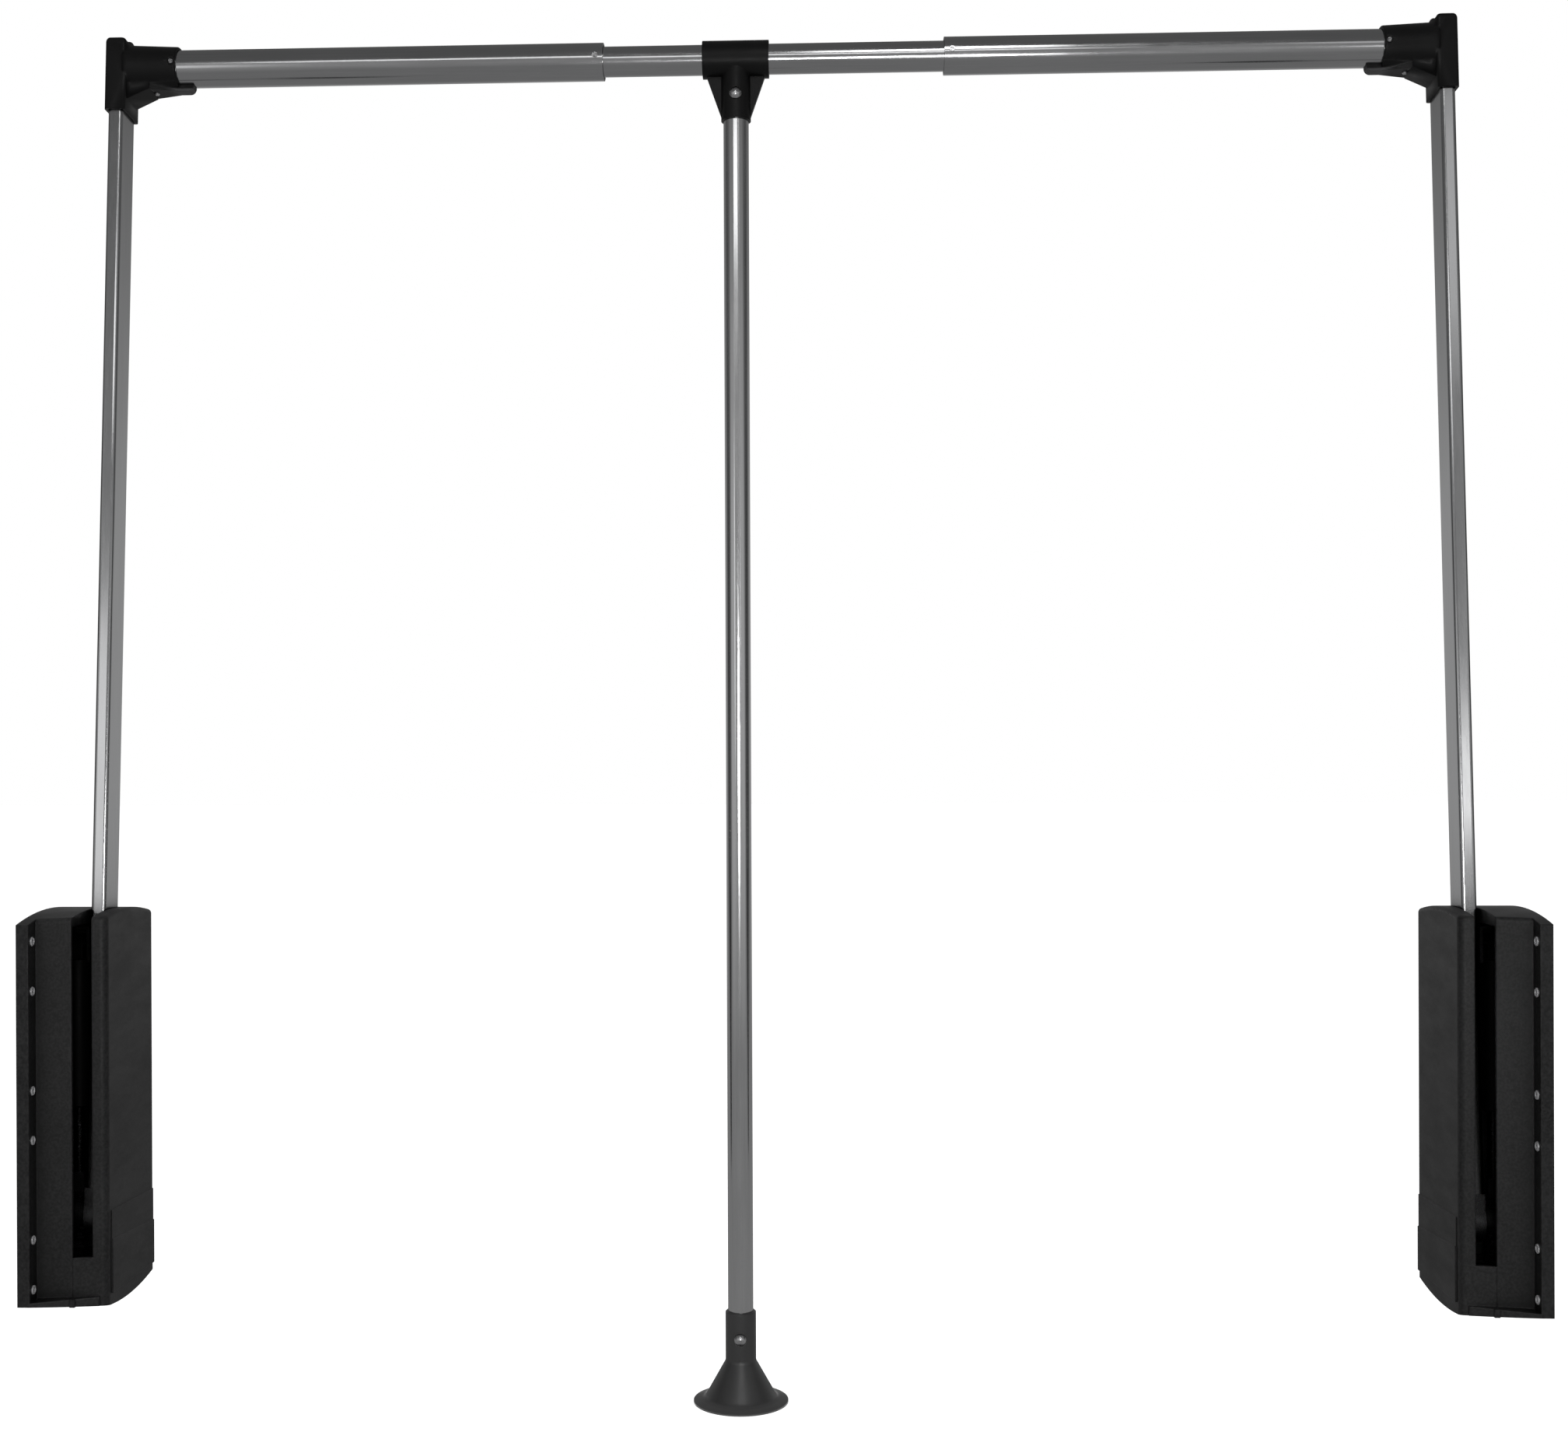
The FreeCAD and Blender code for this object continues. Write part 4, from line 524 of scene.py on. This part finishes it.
def square_shoulder(form):
    """Makes the round shoulder of an upright left connector squarer and raises it."""
    arm_low, arm_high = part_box("left_arm_tube")
    top = max(corner.co.z for corner in form.verts)
    wall = arm_low.x - min(corner.co.x for corner in form.verts)
    centre = Vector((arm_high.x + wall - CAD_SHOULDER, 0, top - CAD_SHOULDER))
    for corner in form.verts:
        across, up = corner.co.x - centre.x, corner.co.z - centre.z
        if up > 0 and across < CAD_SHOULDER + HAIR:
            away = math.hypot(across, up)
            if across > 0:
                corner.co.x = centre.x + away * (across / away) ** SQUARER
                up = away * (up / away) ** SQUARER
            corner.co.z = centre.z + up * (1 + RAISED / CAD_SHOULDER)


def corner_connector(side, finish):
    """The CAD connector with a squarer shoulder and a tongue that slims towards the rail's middle.

    The shaping is done on an upright left connector; the right one is mirrored to it and back.
    """
    node = f"{side}_corner_connector"
    rail_height = math.hypot(RAIL.y, RAIL.z)
    upright = Matrix.Rotation(math.atan2(RAIL.y, RAIL.z), 4, "X")
    if side == "right":
        upright = upright @ Matrix.Translation((2 * RAIL.x, 0, 0)) @ Matrix.Scale(-1, 4, (1, 0, 0))

    form = bmesh.new()
    form.from_mesh(frame["nodes"][node].data)
    bmesh.ops.remove_doubles(form, verts=form.verts, dist=MERGE)
    bmesh.ops.transform(form, matrix=upright, verts=form.verts)
    if side == "right":
        bmesh.ops.reverse_faces(form, faces=form.faces)
    square_shoulder(form)
    piece = add_form(f"{node}_shaped", form)

    for front in (-1, 1):
        cutter = side_wedge(front, low=rail_height - LIP_DROP - HAIR, high=rail_height)
        subtract(cutter, socket_cone(rail_height))
        subtract(piece, cutter)
    if side == "right":
        piece.data.flip_normals()
    piece.data.transform(upright.inverted())
    piece.data.set_sharp_from_angle(angle=SMOOTH_BELOW)
    piece.data.materials.append(finish)
    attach(piece, body_of(node))
    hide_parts(node)


# ---------------------------------------------------------------- studio

WHITE = grey(1.0)
BLACK = grey(0.0)

# The camera, fitted to the photograph: place, turn in degrees, lens and film width in millimetres.
CAMERA_PLACE = (0.5178, -1.2846, 0.3038)
CAMERA_TURN = (89.92, 0.225, 2.22)
CAMERA_LENS = 45.18
CAMERA_FILM = 36.0
CAMERA_SHIFT = (0.0230, 0.0240)

# How strongly the white world lights things; it shows at full strength.
WORLD_LEVEL = 0.7

FLOOR_SPAN = 30.0
FLOOR_COLOR = grey(0.8)
FLOOR_ROUGHNESS = 0.9
FLOOR_SPECULAR = 0.1
FLOOR_GLOW = 0.5

TENT_RADIUS = 3.4
TENT_RISE = 0.004
TENT_SEGMENTS = 64
TENT_RINGS = 32

# How light the tent is from its front (0) through its sides (0.5) to its back (1).
TENT_TONES = (
    (0.0, 0.25),
    (0.04, 0.36),
    (0.14, 0.44),
    (0.25, 0.4),
    (0.36, 0.08),
    (0.6, 0.05),
    (0.78, 0.3),
    (1.0, 0.4),
)

# The tent's floor and top: the heights, in tent radii, where they start and are complete, and how
# light they are.
TENT_ENDS = ((-0.05, -0.3, 0.22), (0.15, 0.5, 0.12))

# Each lamp's place, target, width, height, power in watts, and whether it shows in what mirrors.
# The panels draw the streaks on the chrome.
MIDDLE = (0.485, 0.0, 0.33)
LAMPS = {
    "key": ((-0.9, -2.0, 2.2), MIDDLE, 1.6, 1.6, 26.0, False),
    "fill": ((2.2, -1.7, 1.2), MIDDLE, 1.4, 1.4, 14.0, False),
    "beside_camera": ((0.60, -1.5, 0.29), MIDDLE, 0.34, 0.2, 3.4, True),
    "high_panel": ((0.25, -2.2, 1.365), (0.46, 0.0, 0.7), 1.5, 0.27, 2.1, True),
    "top_panel": ((0.72, -2.0, 2.0), (0.60, 0.0, -0.1), 0.36, 0.5, 3.6, True),
    "left_panel": ((-0.85, -2.3, 0.61), (0.04, 0.0, 0.3), 0.5, 0.58, 0.7, True),
    "right_panel": ((1.66, -2.3, 0.575), (0.93, 0.0, 0.28), 0.3, 0.21, 0.34, True),
    "right_top_panel": ((1.63, -2.2, 1.6), (0.93, 0.0, 0.66), 0.5, 0.5, 0.43, True),
}


def seen_directly(tree):
    """1 for rays from the camera and for mirror and glass rays, 0 for the light that falls on things."""
    path = tree.nodes.new("ShaderNodeLightPath")
    total = path.outputs["Is Camera Ray"]
    for name in ("Is Glossy Ray", "Is Transmission Ray"):
        highest = tree.nodes.new("ShaderNodeMath")
        highest.operation = "MAXIMUM"
        tree.links.new(total, highest.inputs[0])
        tree.links.new(path.outputs[name], highest.inputs[1])
        total = highest.outputs["Value"]
    return total


def make_world():
    """An even soft sky that looks white."""
    world = bpy.data.worlds.new("studio")
    bpy.context.scene.world = world
    world.use_nodes = True
    tree = world.node_tree
    back = tree.nodes["Background"]
    back.inputs["Color"].default_value = opaque(WHITE)
    level = tree.nodes.new("ShaderNodeMapRange")
    level.inputs["To Min"].default_value = WORLD_LEVEL
    level.inputs["To Max"].default_value = 1.0
    tree.links.new(seen_directly(tree), level.inputs["Value"])
    tree.links.new(level.outputs["Result"], back.inputs["Strength"])


def make_floor():
    """A pale floor at the object's lowest point that keeps its shadow."""
    half = FLOOR_SPAN / 2
    corners = [
        (CENTRE.x + across * half, CENTRE.y + along * half, LOWEST)
        for across, along in ((-1, -1), (1, -1), (1, 1), (-1, 1))
    ]
    mesh = bpy.data.meshes.new("floor")
    mesh.from_pydata(corners, [], [(0, 1, 2, 3)])
    made = Finish("floor", FLOOR_COLOR, FLOOR_ROUGHNESS, specular=FLOOR_SPECULAR)
    made.set("Emission Color", opaque(WHITE))
    glow = made.math("MULTIPLY", seen_directly(made.tree), FLOOR_GLOW)
    made.link(glow, made.shader.inputs["Emission Strength"])
    mesh.materials.append(made.material)
    add_object("floor", mesh)


def tent_finish():
    """Black paper that glows in the tent's tones."""
    made = Finish("grey_tent", BLACK, roughness=0.5, specular=0.0)
    made.set("Emission Strength", 1.0)
    where = made.node("ShaderNodeTexCoord")
    outward = made.node("ShaderNodeVectorMath", operation="NORMALIZE")
    made.link(where.outputs["Object"], outward.inputs[0])
    split = made.node("ShaderNodeSeparateXYZ")
    made.link(outward.outputs["Vector"], split.inputs["Vector"])
    depth = made.ramp(split.outputs["Y"], low=0.0, high=1.0, start=-1.0, end=1.0)
    tones = made.node("ShaderNodeValToRGB")
    stops = tones.color_ramp.elements
    for place, tone in TENT_TONES[1:-1]:
        stops.new(place).color = opaque(grey(tone))
    for end in (0, -1):
        place, tone = TENT_TONES[end]
        stops[end].position = place
        stops[end].color = opaque(grey(tone))
    made.link(depth, tones.inputs["Fac"])
    color = tones.outputs["Color"]
    for start, end, tone in TENT_ENDS:
        share = made.ramp(split.outputs["Z"], low=0.0, high=1.0, start=start, end=end)
        color = made.blend(share, color, grey(tone))
    made.link(color, made.shader.inputs["Emission Color"])
    return made.material


def make_tent():
    """A grey tent round the studio that only shows in what mirrors it, light in front and dark beside."""
    form = bmesh.new()
    bmesh.ops.create_uvsphere(form, u_segments=TENT_SEGMENTS, v_segments=TENT_RINGS, radius=TENT_RADIUS)
    for corner in form.verts:
        corner.co.z = max(corner.co.z, LOWEST + TENT_RISE - CENTRE.z)
    tent = add_form("grey_tent", form)
    tent.location = CENTRE
    tent.data.materials.append(tent_finish())
    tent.visible_camera = False
    tent.visible_diffuse = False
    tent.visible_shadow = False
    tent.visible_transmission = False


def add_lamp(name, place, target, width, height, power, mirrored):
    """A soft box that faces its target."""
    lamp = bpy.data.lights.new(name, "AREA")
    lamp.shape = "RECTANGLE"
    lamp.size = width
    lamp.size_y = height
    lamp.energy = power
    holder = add_object(name, lamp)
    holder.location = place
    holder.rotation_euler = (Vector(target) - Vector(place)).to_track_quat("-Z", "Y").to_euler()
    holder.visible_camera = False
    holder.visible_glossy = mirrored


def make_camera():
    """The camera, where the photograph was taken from."""
    lens = bpy.data.cameras.new("camera")
    lens.sensor_width = CAMERA_FILM
    lens.lens = CAMERA_LENS
    lens.shift_x, lens.shift_y = CAMERA_SHIFT
    holder = add_object("camera", lens)
    holder.location = CAMERA_PLACE
    holder.rotation_euler = [math.radians(angle) for angle in CAMERA_TURN]
    bpy.context.scene.camera = holder


finishes = make_finishes()
for name, piece in frame["nodes"].items():
    piece.data.materials.clear()
    piece.data.materials.append(finishes[name])
for side in SIDES:
    corner_connector(side, finishes[f"{side}_corner_connector"])
make_world()
make_floor()
make_tent()
for name, settings in LAMPS.items():
    add_lamp(name, *settings)
make_camera()
bpy.context.scene.view_settings.view_transform = "Standard"
